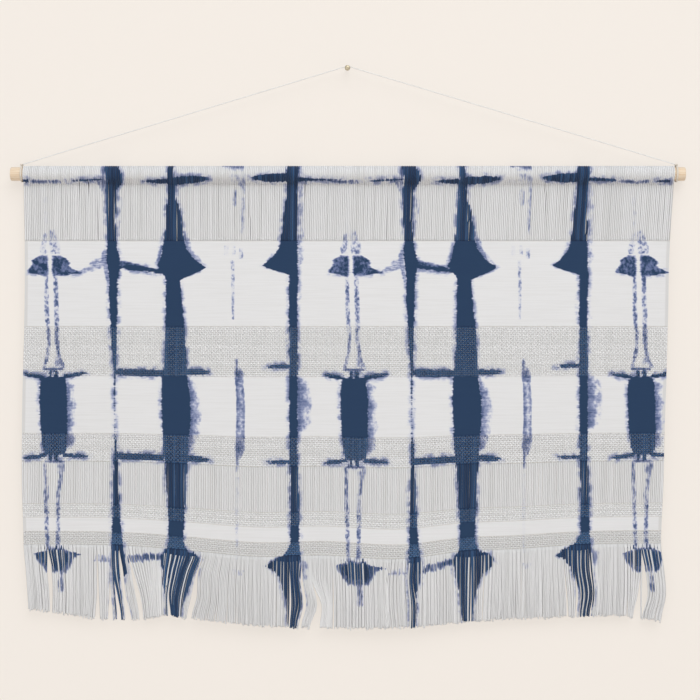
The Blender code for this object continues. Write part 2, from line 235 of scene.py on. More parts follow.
STRIPES = (
    Stripe(Tone.MOTTLE, CLAMPED, ((229.5, -15, -8), (231, -21, -7), (234, -25, -7), (237, -29, -6.5),
                                  (240, -26, -7), (244, -29, -6.5), (249, -34, -6.5), (252, -32, -6.5),
                                  (254.5, -17, -7), (257, -12, -6))),
    Stripe(Tone.MOTTLE, CLAMPED, ((229.5, -2, 7), (231.5, -3.5, 12), (235, -3, 17), (239.5, -2.5, 20.5),
                                  (241.5, -2.5, 17.5), (246, -3, 22), (249.5, -3, 32), (251.5, -3, 36),
                                  (253.5, -2, 24), (256, -1, 8))),
    Stripe(Tone.SPECK, CLAMPED, ((202, -13, -8), (210, -14, -9), (222, -18, -10), (229, -16, -9)), 0.85),
    Stripe(Tone.SPECK, CLAMPED, ((198, -6, 0), (208, -6, 4), (218, -5, 8), (229, -5, 8)), 0.85),
    Stripe(Tone.NAVY, CLAMPED, ((378.5, -14.5, 13), (384, -17, 14.5), (390, -18, 16), (407, -18.5, 17),
                                (444, -17, 17), (466, -14.5, 16), (474.5, -11, 13.5))),
    Stripe(Tone.MOTTLE, CLAMPED, ((590, -6, 12), (593.5, -16, 18), (595.5, -25, 39), (598.5, -24, 30),
                                  (602, -23, 25), (608, -20, 22), (614, -14, 19), (620, -11, 15))),
    Stripe(Tone.NAVY, CLAMPED, ((592, -3, 9), (596, -17, 16), (602, -16, 19), (613, -11, 14))),
    Stripe(Tone.BLEED, CLAMPED, ((382, 13, 18), (390, 15, 29), (400, 16, 25), (412, 16, 31), (424, 16, 27),
                                 (436, 16, 32), (446, 16, 26), (456, 15, 30), (470, 14, 22))),
    Stripe(Tone.BLEED, CLAMPED, ((350, 7, 1), (358, 9, -1), (366, 13, -3), (371, 14, -3)), 0.85),
    Stripe(Tone.BLEED, CLAMPED, ((483, 14, -2), (492, 12, 0), (502, 9, 4)), 0.85),
    Stripe(Tone.SPECK, CLAMPED, ((158, -11, -8), (205, -12, -7), (228, -11, -6)), 0.4),
    Stripe(Tone.SPECK, CLAMPED, ((252, -12, -7), (300, -12, -6), (330, -9, -4), (350, -10, -5),
                                 (369, -15, -10))),
    Stripe(Tone.SPECK, CLAMPED, ((252, -1, 5), (270, -1, 5), (300, 0, 6.5), (335, 0.5, 6.5),
                                 (352, 3, 8), (369, 8, 13))),
    Stripe(Tone.SPECK, CLAMPED, ((483, -14, -9), (500, -13, -8), (560, -12, -6), (597, -10, -5))),
    Stripe(Tone.SPECK, CLAMPED, ((483, 8, 13), (500, 6, 11), (520, 2, 8), (560, 2, 7.5), (597, 1, 8),
                                 (645, 0, 9))),
    Stripe(Tone.NAVY, NARROW, ((110, -12.5, 4), (120, -12.5, 5), (130, -10.5, 11), (138, -9, 12.5),
                               (143, -10, 9), (149.5, -11, 3.5), (186.5, -10, 2), (212.5, -8.5, 3.5),
                               (226, -10, 6), (236, -9.5, 8.5), (248, -7.5, 7.5), (260, -6.5, 5.5),
                               (284.5, -6.5, 5), (309, -5, 4.5), (340, -3.5, 3.5), (370.5, -1, 3),
                               (407, 0, 1.5), (443.5, 0, 1.5), (456, -0.5, 3.5), (480, -0.5, 5),
                               (504.5, -2, 6), (549.5, -2.5, 8), (577, -3.5, 11), (597, -3.5, 12.5),
                               (621, -3.5, 11.5), (627, -3.5, 5), (720, -4, 4))),
    Stripe(Tone.MOTTLE, NARROW, ((222, -12, -8), (228, -15.5, -8), (238, -16, -8), (246, -13, -7),
                                 (256, -11, -5.5), (264, -9, -5)), 0.6),
    Stripe(Tone.MOTTLE, NARROW, ((132, -21, -12), (138, -22, -11), (146, -17, -11), (156, -12.5, -9.5)),
           0.5),
    Stripe(Tone.BLEED, NARROW, ((150, 3, 9), (180, 2, 8), (212, 3, 9)), 0.7),
    Stripe(Tone.BLEED, NARROW, ((118, -11, -19), (150, -10, -14), (180, -9, -12))),
    Stripe(Tone.SPECK, NARROW, ((157, 5, 9), (166, 6, 11), (190, 4, 8)), 0.6),
    Stripe(Tone.NAVY, BROAD, ((110, -10, -2.5), (140, -10, -1), (162, -10.5, 1), (174, -12.5, 6),
                              (199, -13.5, 9), (212.5, -16, 11), (223.5, -18, 14.5), (233, -19.5, 22),
                              (238, -22, 27), (241.5, -24.5, 34.5), (245.5, -22, 37), (250.5, -18.5, 28),
                              (255, -14.5, 17), (260, -12.5, 6), (284.5, -13, 7.5), (309, -13.5, 10.5),
                              (340, -14, 12.5), (364, -15.5, 14), (377.5, -17.5, 14.5),
                              (406.5, -18.5, 18.5), (430.5, -17.5, 19), (466.5, -16, 15.5),
                              (479.5, -14, 15.5), (502, -12.5, 12.5), (526, -11, 12.5), (549.5, -10, 11),
                              (573, -9, 10), (583, -11, 13.5), (590, -17, 29.5))),
    Stripe(Tone.NAVY, BROAD[:1], ((588, -15, 26), (597.5, -19.5, 34.5), (616, -14.5, 33),
                                  (634.5, -10.5, 29.5), (653, -7.5, 26), (720, -4, 18))),
    Stripe(Tone.NAVY, BROAD[1:], ((588, -15, 26), (597.5, -19.5, 33), (604, -17, 33), (611, -15.5, 24),
                                  (616, -14.5, 21), (625, -12, 16), (643, -9, 9.5), (720, -4, 5))),
    Stripe(Tone.BLEED, BROAD, ((376, 14, 18), (390, 16, 28), (418, 18, 35), (445, 17, 32), (470, 14, 22))),
    Stripe(Tone.BLEED, BROAD, ((196, 8, 12), (222, 13, 23), (234, 20, 32), (243, 32, 39))),
    Stripe(Tone.BLEED, BROAD, ((212, -15, -19), (236, -20, -27), (250, -18, -23))),
    Stripe(Tone.BLEED, FAINT, ((108, 4, -24), (129, 4, -24)), 0.85),
    Stripe(Tone.BLEED, FAINT, ((126, 5, -22), (148, 5, -16)), 0.45),
    Stripe(Tone.BLEED, FAINT, ((140, 5.5, -2), (175, 5, -2), (209, 4.5, -1.5)), 0.45),
    Stripe(Tone.BLEED, FAINT, ((145, -4, -11), (162, -4, -12), (172, -5, -10)), 0.6),
    Stripe(Tone.SPECK, FAINT, ((218, -19, -14), (230, -19, -14)), 0.55),
    Stripe(Tone.SPECK, FAINT, ((217, -9, -5), (230, -9, -5)), 0.6),
    Stripe(Tone.SPECK, FAINT, ((221, -1, 4), (234, -1, 4)), 0.8),
    Stripe(Tone.SPECK, FAINT, ((236, -11.5, -7), (260, -10.5, -6.5), (309, -10, -7)), 0.75),
    Stripe(Tone.BLEED, FAINT, ((364, -5, -1), (374, -6, 4.5), (388, -4.8, 4), (404, -3.6, 5.5),
                               (432, -3.8, 5.5), (462, -5, 5.5), (476, -4, 0)), 0.9),
    Stripe(Tone.BLEED, FAINT, ((364, -1, -5), (374, 4.5, -6), (388, 4, -4.8), (404, 5.5, -3.6),
                               (432, 5.5, -3.8), (462, 5.5, -5), (476, 0, -4)), 0.75),
    Stripe(Tone.MOTTLE, FAINT, ((370, -6, 2), (376, -7, 5), (386, -5, 3)), 0.7),
    Stripe(Tone.MOTTLE, FAINT, ((452, -5, 5), (462, -6, 5), (468, -5, 0)), 0.7),
    Stripe(Tone.MOTTLE, FAINT, ((357, -5.5, -2.5), (372, -6, -2)), 0.8),
    Stripe(Tone.MOTTLE, FAINT, ((470, -5, -1), (489, -4.5, -2)), 0.8),
    Stripe(Tone.SPECK, FAINT, ((495, -5.5, -1), (560, -5.5, -2), (592, -5, -2)), 0.5),
    Stripe(Tone.NAVY, PLAIN, ((110, -7.5, 7), (119, -7.5, 7.5), (127.5, -8.5, 8.5), (137.5, -8.5, 7.5),
                              (149.5, -7.5, 6), (174, -11, 6), (199, -13.5, 6), (212.5, -16, 6),
                              (222.5, -18.5, 6.5), (230, -24, 6.5), (236, -30, 6.5), (242.5, -38.5, 6.5),
                              (247, -29, 6.5), (250, -16, 6.5), (253.5, -5, 7.5), (284.5, -5.5, 6),
                              (377, -5, 6.5), (443.5, -5, 6.5), (476, -4.5, 6), (520.5, -3.5, 8.5),
                              (571.5, -3.5, 8.5), (581.5, -10, 10), (587.5, -19, 10),
                              (592.5, -30, 10), (596.5, -35, 10), (600, -26, 10), (607, -19.5, 10),
                              (617, -14.5, 10), (640, -9, 10), (700, -3, 8))),
    Stripe(Tone.BLEED, PLAIN, ((374, 6, 12), (386, 6, 26), (430, 6, 27), (446, 6, 14))),
    Stripe(Tone.BLEED, PLAIN, ((112, 6, 14), (160, 5.5, 18), (230, 6, 17), (252, 6, 11)), 0.5),
    Stripe(Tone.BLEED, PLAIN, ((590, 8, 17), (600, 8, 24), (616, 8, 22))),
)

STROKES = (
    Stroke(Tone.NAVY, CLAMPED, -38.5, 375, -12, 380, 6, 8, 0),
    Stroke(Tone.NAVY, CLAMPED, 11, 379, 41.5, 374, 6.2, 0, 12),
    Stroke(Tone.NAVY, CLAMPED, -38.5, 479, -9, 475, 6, 8, 0),
    Stroke(Tone.NAVY, CLAMPED, 10, 475, 43, 476.5, 6, 0, 14),
    Stroke(Tone.MOTTLE, CLAMPED, -14.5, 369.5, 12, 369.5, 4.2, 3, 3),
    Stroke(Tone.MOTTLE, CLAMPED, -12, 482.5, 13.5, 482.5, 4.2, 4, 4),
    Stroke(Tone.NAVY, CLAMPED, -7, 375, -2, 375, 9, 0, 0),
    Stroke(Tone.NAVY, CLAMPED, -0.5, 375, 5.5, 375, 9, 0, 0),
    Stroke(Tone.NAVY, CLAMPED, -7, 477, -2, 477, 10, 0, 0),
    Stroke(Tone.NAVY, CLAMPED, -0.5, 477, 5.5, 477, 10, 0, 0),
    Stroke(Tone.NAVY, CLAMPED, -30, 250.5, -9, 252, 3.6, 14, 2),
    Stroke(Tone.NAVY, CLAMPED, 2, 252, 33, 251, 3.6, 2, 16),
    Stroke(Tone.MOTTLE, CLAMPED[:2], 32, 250, 62, 241, 7, 6, 6, 0.5),
    Stroke(Tone.MOTTLE, CLAMPED[:2], 44, 239, 60, 236, 7, 6, 3, 0.45),
    Stroke(Tone.NAVY, CLAMPED[:2], 16, 139, 61, 136.8, 2.9, 12, 2),
    Stroke(Tone.NAVY, CLAMPED[2:], -65, 137.5, -28, 138.5, 2.9, 8, 8),
    Stroke(Tone.MOTTLE, CLAMPED, -30, 139, -8, 140, 4.6, 5, 3),
    Stroke(Tone.NAVY, CLAMPED[:1], -38.5, 138.8, -29, 138.8, 4.2, 0, 3),
    Stroke(Tone.SPECK, CLAMPED, -9, 140, 10, 139.5, 5, 2, 2),
    Stroke(Tone.NAVY, CLAMPED[2:], 14, 139, 34, 139, 3.4, 8, 0),
    Stroke(Tone.NAVY, CLAMPED[:1], 317, 137.5, 356, 137.5, 2.6, 5, 15),
    Stroke(Tone.NAVY, NARROW, 0, 242.5, 66, 250.5, 6.8, 0, 0),
    Stroke(Tone.MOTTLE, NARROW, 5, 240.5, 52, 248, 11.5, 3, 40),
    Stroke(Tone.NAVY, NARROW, 1, 373, 62, 374, 9.6, 5, 0),
    Stroke(Tone.NAVY, NARROW, 1, 475.5, 62, 476, 9.2, 5, 0),
    Stroke(Tone.MOTTLE, NARROW, 13, 602, 66, 594, 9.5, 2, 0),
    Stroke(Tone.MOTTLE, NARROW, -26, 603, -4, 603, 9, 6, 4, 0.5),
    Stroke(Tone.NAVY, BROAD, 10, 373, 43.5, 372.5, 8.2, 0, 12),
    Stroke(Tone.NAVY, BROAD, 10, 475, 43.5, 477, 8.2, 0, 12),
    Stroke(Tone.NAVY, BROAD, -4, 139, 42.5, 136, 9.5, 0, 20),
    Stroke(Tone.NAVY, BROAD, -40, 139, -6, 139.5, 6.2, 18, 0),
    Stroke(Tone.MOTTLE, FAINT, -22, 121, 4, 121, 4, 3, 3, 0.6),
    Stroke(Tone.SPECK, FAINT, -26, 140, 6, 140, 6, 3, 3, 0.4),
    Stroke(Tone.SPECK, FAINT, -8, 606, 7, 606, 9, 4, 4, 0.5),
    Stroke(Tone.NAVY, PLAIN, -52, 135.5, 3, 135, 11, 26, 0),
    Stroke(Tone.NAVY, PLAIN, 4, 137, 40, 137, 5, 0, 26),
    Stroke(Tone.NAVY, PLAIN, -34.5, 366, -2, 364.5, 5.2, 10, 0),
    Stroke(Tone.NAVY, PLAIN, -34.5, 477, -2, 477, 5, 10, 0),
)

# Tools for reading tables and for shaping pieces


def smooth(at: Array, keys: Sequence[float], values: Sequence[float]) -> Array:
    """Reads a table with a smooth curve through its rows, flat at both ends.

    Args:
        at: where to read it.
        keys: the rows' places, rising.
        values: the rows' values.

    Returns:
        The value at each place.
    """
    keys, values = np.asarray(keys, float), np.asarray(values, float)
    slopes = np.gradient(values, keys)
    slopes[0] = slopes[-1] = 0.0
    at = np.clip(at, keys[0], keys[-1])
    i = np.clip(np.searchsorted(keys, at, side="right") - 1, 0, len(keys) - 2)
    span = keys[i + 1] - keys[i]
    t = (at - keys[i]) / span
    rise = t * t * (3 - 2 * t)
    leaving, arriving = t**3 - 2 * t**2 + t, t**3 - t**2
    return (
        values[i] * (1 - rise)
        + values[i + 1] * rise
        + span * (leaving * slopes[i] + arriving * slopes[i + 1])
    )


def across(u: Array, drop: Array) -> Array:
    """The x of a place across the cloth, from 0 at its left edge to 1 at its right.

    Args:
        u: the share of the width.
        drop: the drop, which sets the two edges.

    Returns:
        The place in millimetres.
    """
    keys = [side.drop for side in SIDES]
    left = smooth(drop, keys, [side.left for side in SIDES])
    right = smooth(drop, keys, [side.right for side in SIDES])
    return left + (right - left) * u


def sag(x: Array, drop: Array) -> Array:
    """How far the hung cloth lies below the flat one.

    Args:
        x: the place across.
        drop: the drop on the flat cloth.

    Returns:
        The sag in millimetres, which grows towards the hem.
    """
    growth = np.clip((drop - WAVE_START) / (HEM - WAVE_START), 0.0, 1.0) ** WAVE_GROWTH
    return smooth(x, [r.x for r in HEM_WAVE], [r.value for r in HEM_WAVE]) * growth


def hung(points: Array) -> Array:
    """Hangs points of the flat cloth.

    Args:
        points: rows of (x, y, drop).

    Returns:
        Rows of (x, y, z) in millimetres.
    """
    x, y, drop = points.T
    lower = sag(x, drop)
    ripple = sum(weight * np.sin(x / wide + drop / long) for wide, long, weight in RIPPLE_WAVES)
    ripple = RIPPLE * ripple * np.clip((drop - FIRST_WEFT) / RIPPLE_START, 0.0, 1.0)
    return np.stack((x, y + ripple - WAVE_FORWARD * lower, -(drop + lower)), axis=1)


def weakened(tone: Tone, inside: Array, strength: float) -> Array:
    """Weakens a mark: a bleed by its share, a mottle or speck by how far inside it can count.

    Args:
        tone: the mark's tone.
        inside: how far inside it each place lies, or a bleed's share.
        strength: 1 for the full mark, less for a weaker one.

    Returns:
        The same for the weaker mark.
    """
    if tone in FADES:
        low, high = FADES[tone]
        return np.minimum(inside, low + (high - low) * strength) if strength < 1 else inside
    return inside * strength


def charted(x: Array, drop: Array) -> dict[str, Array]:
    """Reads the dye's chart on the flat cloth.

    Args:
        x: the places across.
        drop: their drops.

    Returns:
        For each tone's attribute, how far inside its nearest mark each place lies, below 0 outside. For
        a bleed, its share of the full strength.
    """
    marks = {tone: np.full(len(x), 0.0 if tone is Tone.BLEED else -OUTSIDE) for tone in Tone}
    for stripe in STRIPES:
        drops, lefts, rights = np.array(stripe.rows, float).T
        left, right = np.interp(drop, drops, lefts), np.interp(drop, drops, rights)
        ends = np.minimum(drop - drops[0], drops[-1] - drop)
        for centre in stripe.centres:
            if stripe.tone is Tone.BLEED:
                share = (x - centre - left) / (right - left)
                inside = np.clip(1 - share, 0.0, 1.0) * np.clip(1 + 10 * share, 0.0, 1.0)
                inside = inside * np.clip(ends / 6, 0.0, 1.0)
            else:
                inside = np.minimum(np.minimum(x - centre - left, centre + right - x), ends)
            inside = weakened(stripe.tone, inside, stripe.strength)
            marks[stripe.tone] = np.maximum(marks[stripe.tone], inside)
    for stroke in STROKES:
        for centre in stroke.centres:
            from_left, to_right = x - centre - stroke.left, centre + stroke.right - x
            share = np.clip(from_left / (stroke.right - stroke.left), 0.0, 1.0)
            middle = stroke.left_drop + (stroke.right_drop - stroke.left_drop) * share
            half = np.full(len(x), stroke.thickness / 2)
            for away, taper in ((from_left, stroke.left_taper), (to_right, stroke.right_taper)):
                if taper:
                    half *= np.sqrt(np.clip(away / taper, 0.0, 1.0))
            inside = np.minimum(half - np.abs(drop - middle), np.minimum(from_left, to_right))
            inside = weakened(stroke.tone, inside, stroke.strength)
            marks[stroke.tone] = np.maximum(marks[stroke.tone], inside)
    return {tone.value: mark for tone, mark in marks.items()}


def deselect() -> None:
    """Leaves nothing selected."""
    bpy.ops.object.select_all(action="DESELECT")


def named(name: str) -> Piece:
    """Names the object that was just added.

    Args:
        name: the piece's name.

    Returns:
        The piece.
    """
    piece = bpy.context.object
    piece.name = piece.data.name = name
    return piece


def apply(piece: Piece, modifier: bpy.types.Modifier) -> None:
    """Applies a modifier to a piece, which must be the active one.

    Args:
        piece: the piece.
        modifier: its modifier.
    """
    bpy.context.view_layer.objects.active = piece
    bpy.ops.object.modifier_apply(modifier=modifier.name)


def points_of(piece: Piece) -> Array:
    """Reads a piece's points.

    Args:
        piece: the piece.

    Returns:
        Rows of (x, y, z) as the mesh holds them.
    """
    flat = np.empty(len(piece.data.vertices) * 3, np.float32)
    piece.data.vertices.foreach_get("co", flat)
    return flat.reshape(-1, 3).astype(float)


def write_points(piece: Piece, points: Array) -> None:
    """Moves a piece's points.

    Args:
        piece: the piece.
        points: rows of (x, y, z) in millimetres.
    """
    piece.data.vertices.foreach_set("co", (points * MM).astype(np.float32).ravel())
    piece.data.update()


def store(piece: Piece, values: dict[str, Array]) -> None:
    """Gives a piece attributes, one number for each point.

    Args:
        piece: the piece.
        values: the numbers by the attribute's name.
    """
    for name, numbers in values.items():
        layer = piece.data.attributes.new(name, "FLOAT", "POINT")
        layer.data.foreach_set("value", numbers.astype(np.float32))


def mostly_light(rng: np.random.Generator, count: int) -> Array:
    """Draws the yarns' tones, most of them light.

    Args:
        rng: the source of chance.
        count: how many yarns.

    Returns:
        Their tones, 0 light to 1 shaded.
    """
    return rng.random(count) ** 2.5


class Yarns(NamedTuple):
    """Many yarns in one mesh, and for each point its yarn's number, its place along, 0 to 1, and around."""

    piece: Piece
    number: Array
    along: Array
    around: Array


def spun(name: str, sides: int, segments: Sequence[int], count: int = 1) -> Yarns:
    """Makes copies of one straight round yarn, ready to be laid.

    Args:
        name: the piece's name.
        sides: the sides of its section.
        segments: how often it is divided along, one factor after another.
        count: how many copies.

    Returns:
        The yarns.
    """
    deselect()
    bpy.ops.mesh.primitive_cylinder_add(vertices=sides, radius=1.0, depth=1.0, end_fill_type="NGON")
    piece = named(name)
    bpy.ops.object.mode_set(mode="EDIT")
    bpy.context.tool_settings.mesh_select_mode = (False, True, False)
    for factor in segments:
        mesh = bmesh.from_edit_mesh(piece.data)
        for edge in mesh.edges:
            edge.select_set(False)
        for edge in mesh.edges:
            if abs(edge.verts[0].co.z - edge.verts[1].co.z) > LENGTHWISE:
                edge.select_set(True)
        bmesh.update_edit_mesh(piece.data)
        bpy.ops.mesh.subdivide(number_cuts=factor - 1)
    bpy.ops.object.mode_set(mode="OBJECT")
    bpy.ops.object.shade_smooth()
    one = points_of(piece)
    if count > 1:
        copies = piece.modifiers.new("copies", "ARRAY")
        copies.count = count
        copies.use_relative_offset = False
        apply(piece, copies)
    number = np.repeat(np.arange(count), len(one))
    along, around = one[:, 2] + 0.5, np.arctan2(one[:, 1], one[:, 0])
    return Yarns(piece, number, np.tile(along, count), np.tile(around, count))


def rows_of(x: Array, y: Array | float, z: Array | float) -> Array:
    """Puts three coordinates together, each an array or one number for all the points.

    Args:
        x: the first.
        y: the second.
        z: the third.

    Returns:
        Rows of (x, y, z).
    """
    return np.stack(np.broadcast_arrays(x, y, z), axis=1)


def laid(yarns: Yarns, centre: Array, first: Sequence[float], second: Sequence[float]) -> Array:
    """Lays yarns along their lines.

    Args:
        yarns: the yarns.
        centre: each point's place on its line, in millimetres.
        first: the section's first axis, one or a row for each point, as long as its half width.
        second: its second axis, which with the first and the line's way makes a right-handed set.

    Returns:
        The points in millimetres.
    """
    turn = yarns.around[:, None]
    return centre + np.asarray(first) * np.cos(turn) + np.asarray(second) * np.sin(turn)


def lengths_along(line: Array) -> Array:
    """Measures a line up to each of its points.

    Args:
        line: rows of (x, y, z).

    Returns:
        The lengths from its start, in its own units.
    """
    return np.concatenate(((0.0,), np.cumsum(np.linalg.norm(np.diff(line, axis=0), axis=1))))


def turned(name: str, sides: int, profile: Sequence[tuple[float, float]]) -> Yarns:
    """Makes a turned piece about its own Z axis, from its foot to its top.

    Args:
        name: the piece's name.
        sides: the sides around.
        profile: rows of (radius, height) in millimetres, a radius of 0 only at the ends.

    Returns:
        The piece, with its points written.
    """
    piece = spun(name, sides, (len(profile) - 1,))
    ring = np.rint(piece.along * (len(profile) - 1)).astype(int)
    radius, height = np.array(profile, float).T
    points = np.stack(
        (radius[ring] * np.cos(piece.around), radius[ring] * np.sin(piece.around), height[ring]), axis=1
    )
    write_points(piece.piece, points)
    deselect()
    piece.piece.select_set(True)
    bpy.ops.object.mode_set(mode="EDIT")
    bpy.ops.mesh.select_all(action="SELECT")
    bpy.ops.mesh.remove_doubles(threshold=MERGE)
    bpy.ops.object.mode_set(mode="OBJECT")
    bpy.ops.object.shade_smooth_by_angle(angle=math.radians(40))
    return piece


def seated(piece: Piece, nodes: Sequence[str], finish: Material) -> None:
    """Dresses a piece and lets it stand for solids of the frame.

    Args:
        piece: the piece.
        nodes: the solids that it stands for.
        finish: its material.
    """
    piece.data.materials.clear()
    piece.data.materials.append(finish)
    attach(piece, BODY)
    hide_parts(*nodes)


def dyed_piece(piece: Piece, marks: dict[str, Array], tone: Array, node: str, cotton: Material) -> None:
    """Gives a piece of the cloth its dye, its yarns' tones and its finish.

    Args:
        piece: the piece.
        marks: the dye's chart at each point.
        tone: the yarn's tone at each point.
        node: the solid that it stands for.
        cotton: its material.
    """
    store(piece, {**marks, "yarn": tone})
    seated(piece, [node], cotton)


# Finishes


def linear(red: int, green: int, blue: int) -> tuple[float, float, float, float]:
    """Turns a colour as seen on a screen, 0 to 255, into the shader's numbers.

    Args:
        red: its red.
        green: its green.
        blue: its blue.

    Returns:
        The colour with full opacity.
    """
    parts = [(c / 255 + 0.055) / 1.055 for c in (red, green, blue)]
    return (*(p**2.4 for p in parts), 1.0)


class Graph:
    """A material's nodes, with short calls for the ones that the finishes share."""

    def __init__(self, name: str) -> None:
        """Starts a material with its Principled shader.

        Args:
            name: the material's name.
        """
        self.material = bpy.data.materials.new(name)
        self.material.use_nodes = True
        self.tree = self.material.node_tree
        self.shader = self.tree.nodes["Principled BSDF"]
        self.place = self.node("ShaderNodeTexCoord").outputs["Object"]

    def node(self, kind: str) -> bpy.types.Node:
        """Adds a node of a kind."""
        return self.tree.nodes.new(kind)

    def link(self, source: Socket, target: Socket) -> None:
        """Links two sockets."""
        self.tree.links.new(source, target)

    def attribute(self, name: str) -> Socket:
        """Reads a piece's attribute as a number.

        Args:
            name: the attribute's name.

        Returns:
            The number's socket.
        """
        node = self.node("ShaderNodeAttribute")
        node.attribute_name = name
        return node.outputs["Fac"]

    def noise(self, per_mm: tuple[float, float, float], detail: float = 2.0) -> Socket:
        """Adds noise, stretched along the axes.

        Args:
            per_mm: how many of its features fit a millimetre along X, Y and Z.
            detail: its finer layers.

        Returns:
            Its factor, about 0.5 on average.
        """
        scaling = self.node("ShaderNodeMapping")
        scaling.inputs["Scale"].default_value = [n / MM for n in per_mm]
        self.link(self.place, scaling.inputs["Vector"])
        node = self.node("ShaderNodeTexNoise")
        node.inputs["Scale"].default_value = 1.0
        node.inputs["Detail"].default_value = detail
        self.link(scaling.outputs["Vector"], node.inputs["Vector"])
        return node.outputs["Fac"]

    def math(self, operation: str, *values: Socket | float) -> Socket:
        """Adds a sum, product or the like.

        Args:
            operation: the operation's name.
            values: its sockets or numbers, in order.

        Returns:
            The result.
        """
        node = self.node("ShaderNodeMath")
        node.operation = operation
        for socket, value in zip(node.inputs, values):
            if isinstance(value, (int, float)):
                socket.default_value = value
            else:
                self.link(value, socket)
        return node.outputs[0]

    def ramp(
        self, value: Socket, low: float, high: float, bottom: float = 0.0, top: float = 1.0
    ) -> Socket:
        """Turns a number into a smooth step.

        Args:
            value: the number.
            low: where the step starts.
            high: where it ends.
            bottom: its result at the start.
            top: its result at the end.

        Returns:
            The step.
        """
        node = self.node("ShaderNodeMapRange")
        node.interpolation_type = "SMOOTHSTEP"
        self.link(value, node.inputs["Value"])
        for name, number in (("From Min", low), ("From Max", high), ("To Min", bottom), ("To Max", top)):
            node.inputs[name].default_value = number
        return node.outputs["Result"]

    def mix(
        self, share: Socket, under: Socket | tuple[float, ...], over: Socket | tuple[float, ...]
    ) -> Socket:
        """Mixes two colours.

        Args:
            share: the share of the second.
            under: the first.
            over: the second.

        Returns:
            The mixed colour.
        """
        node = self.node("ShaderNodeMix")
        node.data_type = "RGBA"
        self.link(share, node.inputs["Factor"])
        for name, colour in (("A", under), ("B", over)):
            socket = next(s for s in node.inputs if s.name == name and s.type == "RGBA")
            if isinstance(colour, tuple):
                socket.default_value = colour
            else:
                self.link(colour, socket)
        return next(s for s in node.outputs if s.type == "RGBA")

    def palette(self, value: Socket, stops: Sequence[tuple[float, Colour]]) -> Socket:
        """Turns a number into a colour by a row of stops.

        Args:
            value: the number, 0 to 1.
            stops: rows of (number, colour as seen on a screen), rising, at least two.

        Returns:
            The colour.
        """
        node = self.node("ShaderNodeValToRGB")
        row = node.color_ramp.elements
        for _ in stops[2:]:
            row.new(0.5)
        for element, (at, colour) in zip(row, stops):
            element.position, element.color = at, linear(*colour)
        self.link(value, node.inputs["Fac"])
        return node.outputs["Color"]

    def bump(self, height: Socket, distance: float, strength: float) -> None:
        """Raises the surface by a height.

        Args:
            height: the height, 0 to 1.
            distance: its full height in millimetres.
            strength: how much of it shows.
        """
        node = self.node("ShaderNodeBump")
        node.inputs["Strength"].default_value = strength
        node.inputs["Distance"].default_value = distance * MM
        self.link(height, node.inputs["Height"])
        self.link(node.outputs["Normal"], self.shader.inputs["Normal"])

    def finish(self, colour: Socket, roughness: float) -> Material:
        """Sets the colour and the roughness.

        Args:
            colour: the colour.
            roughness: the roughness.

        Returns:
            The material.
        """
        self.link(colour, self.shader.inputs["Base Color"])
        self.shader.inputs["Roughness"].default_value = roughness
        return self.material


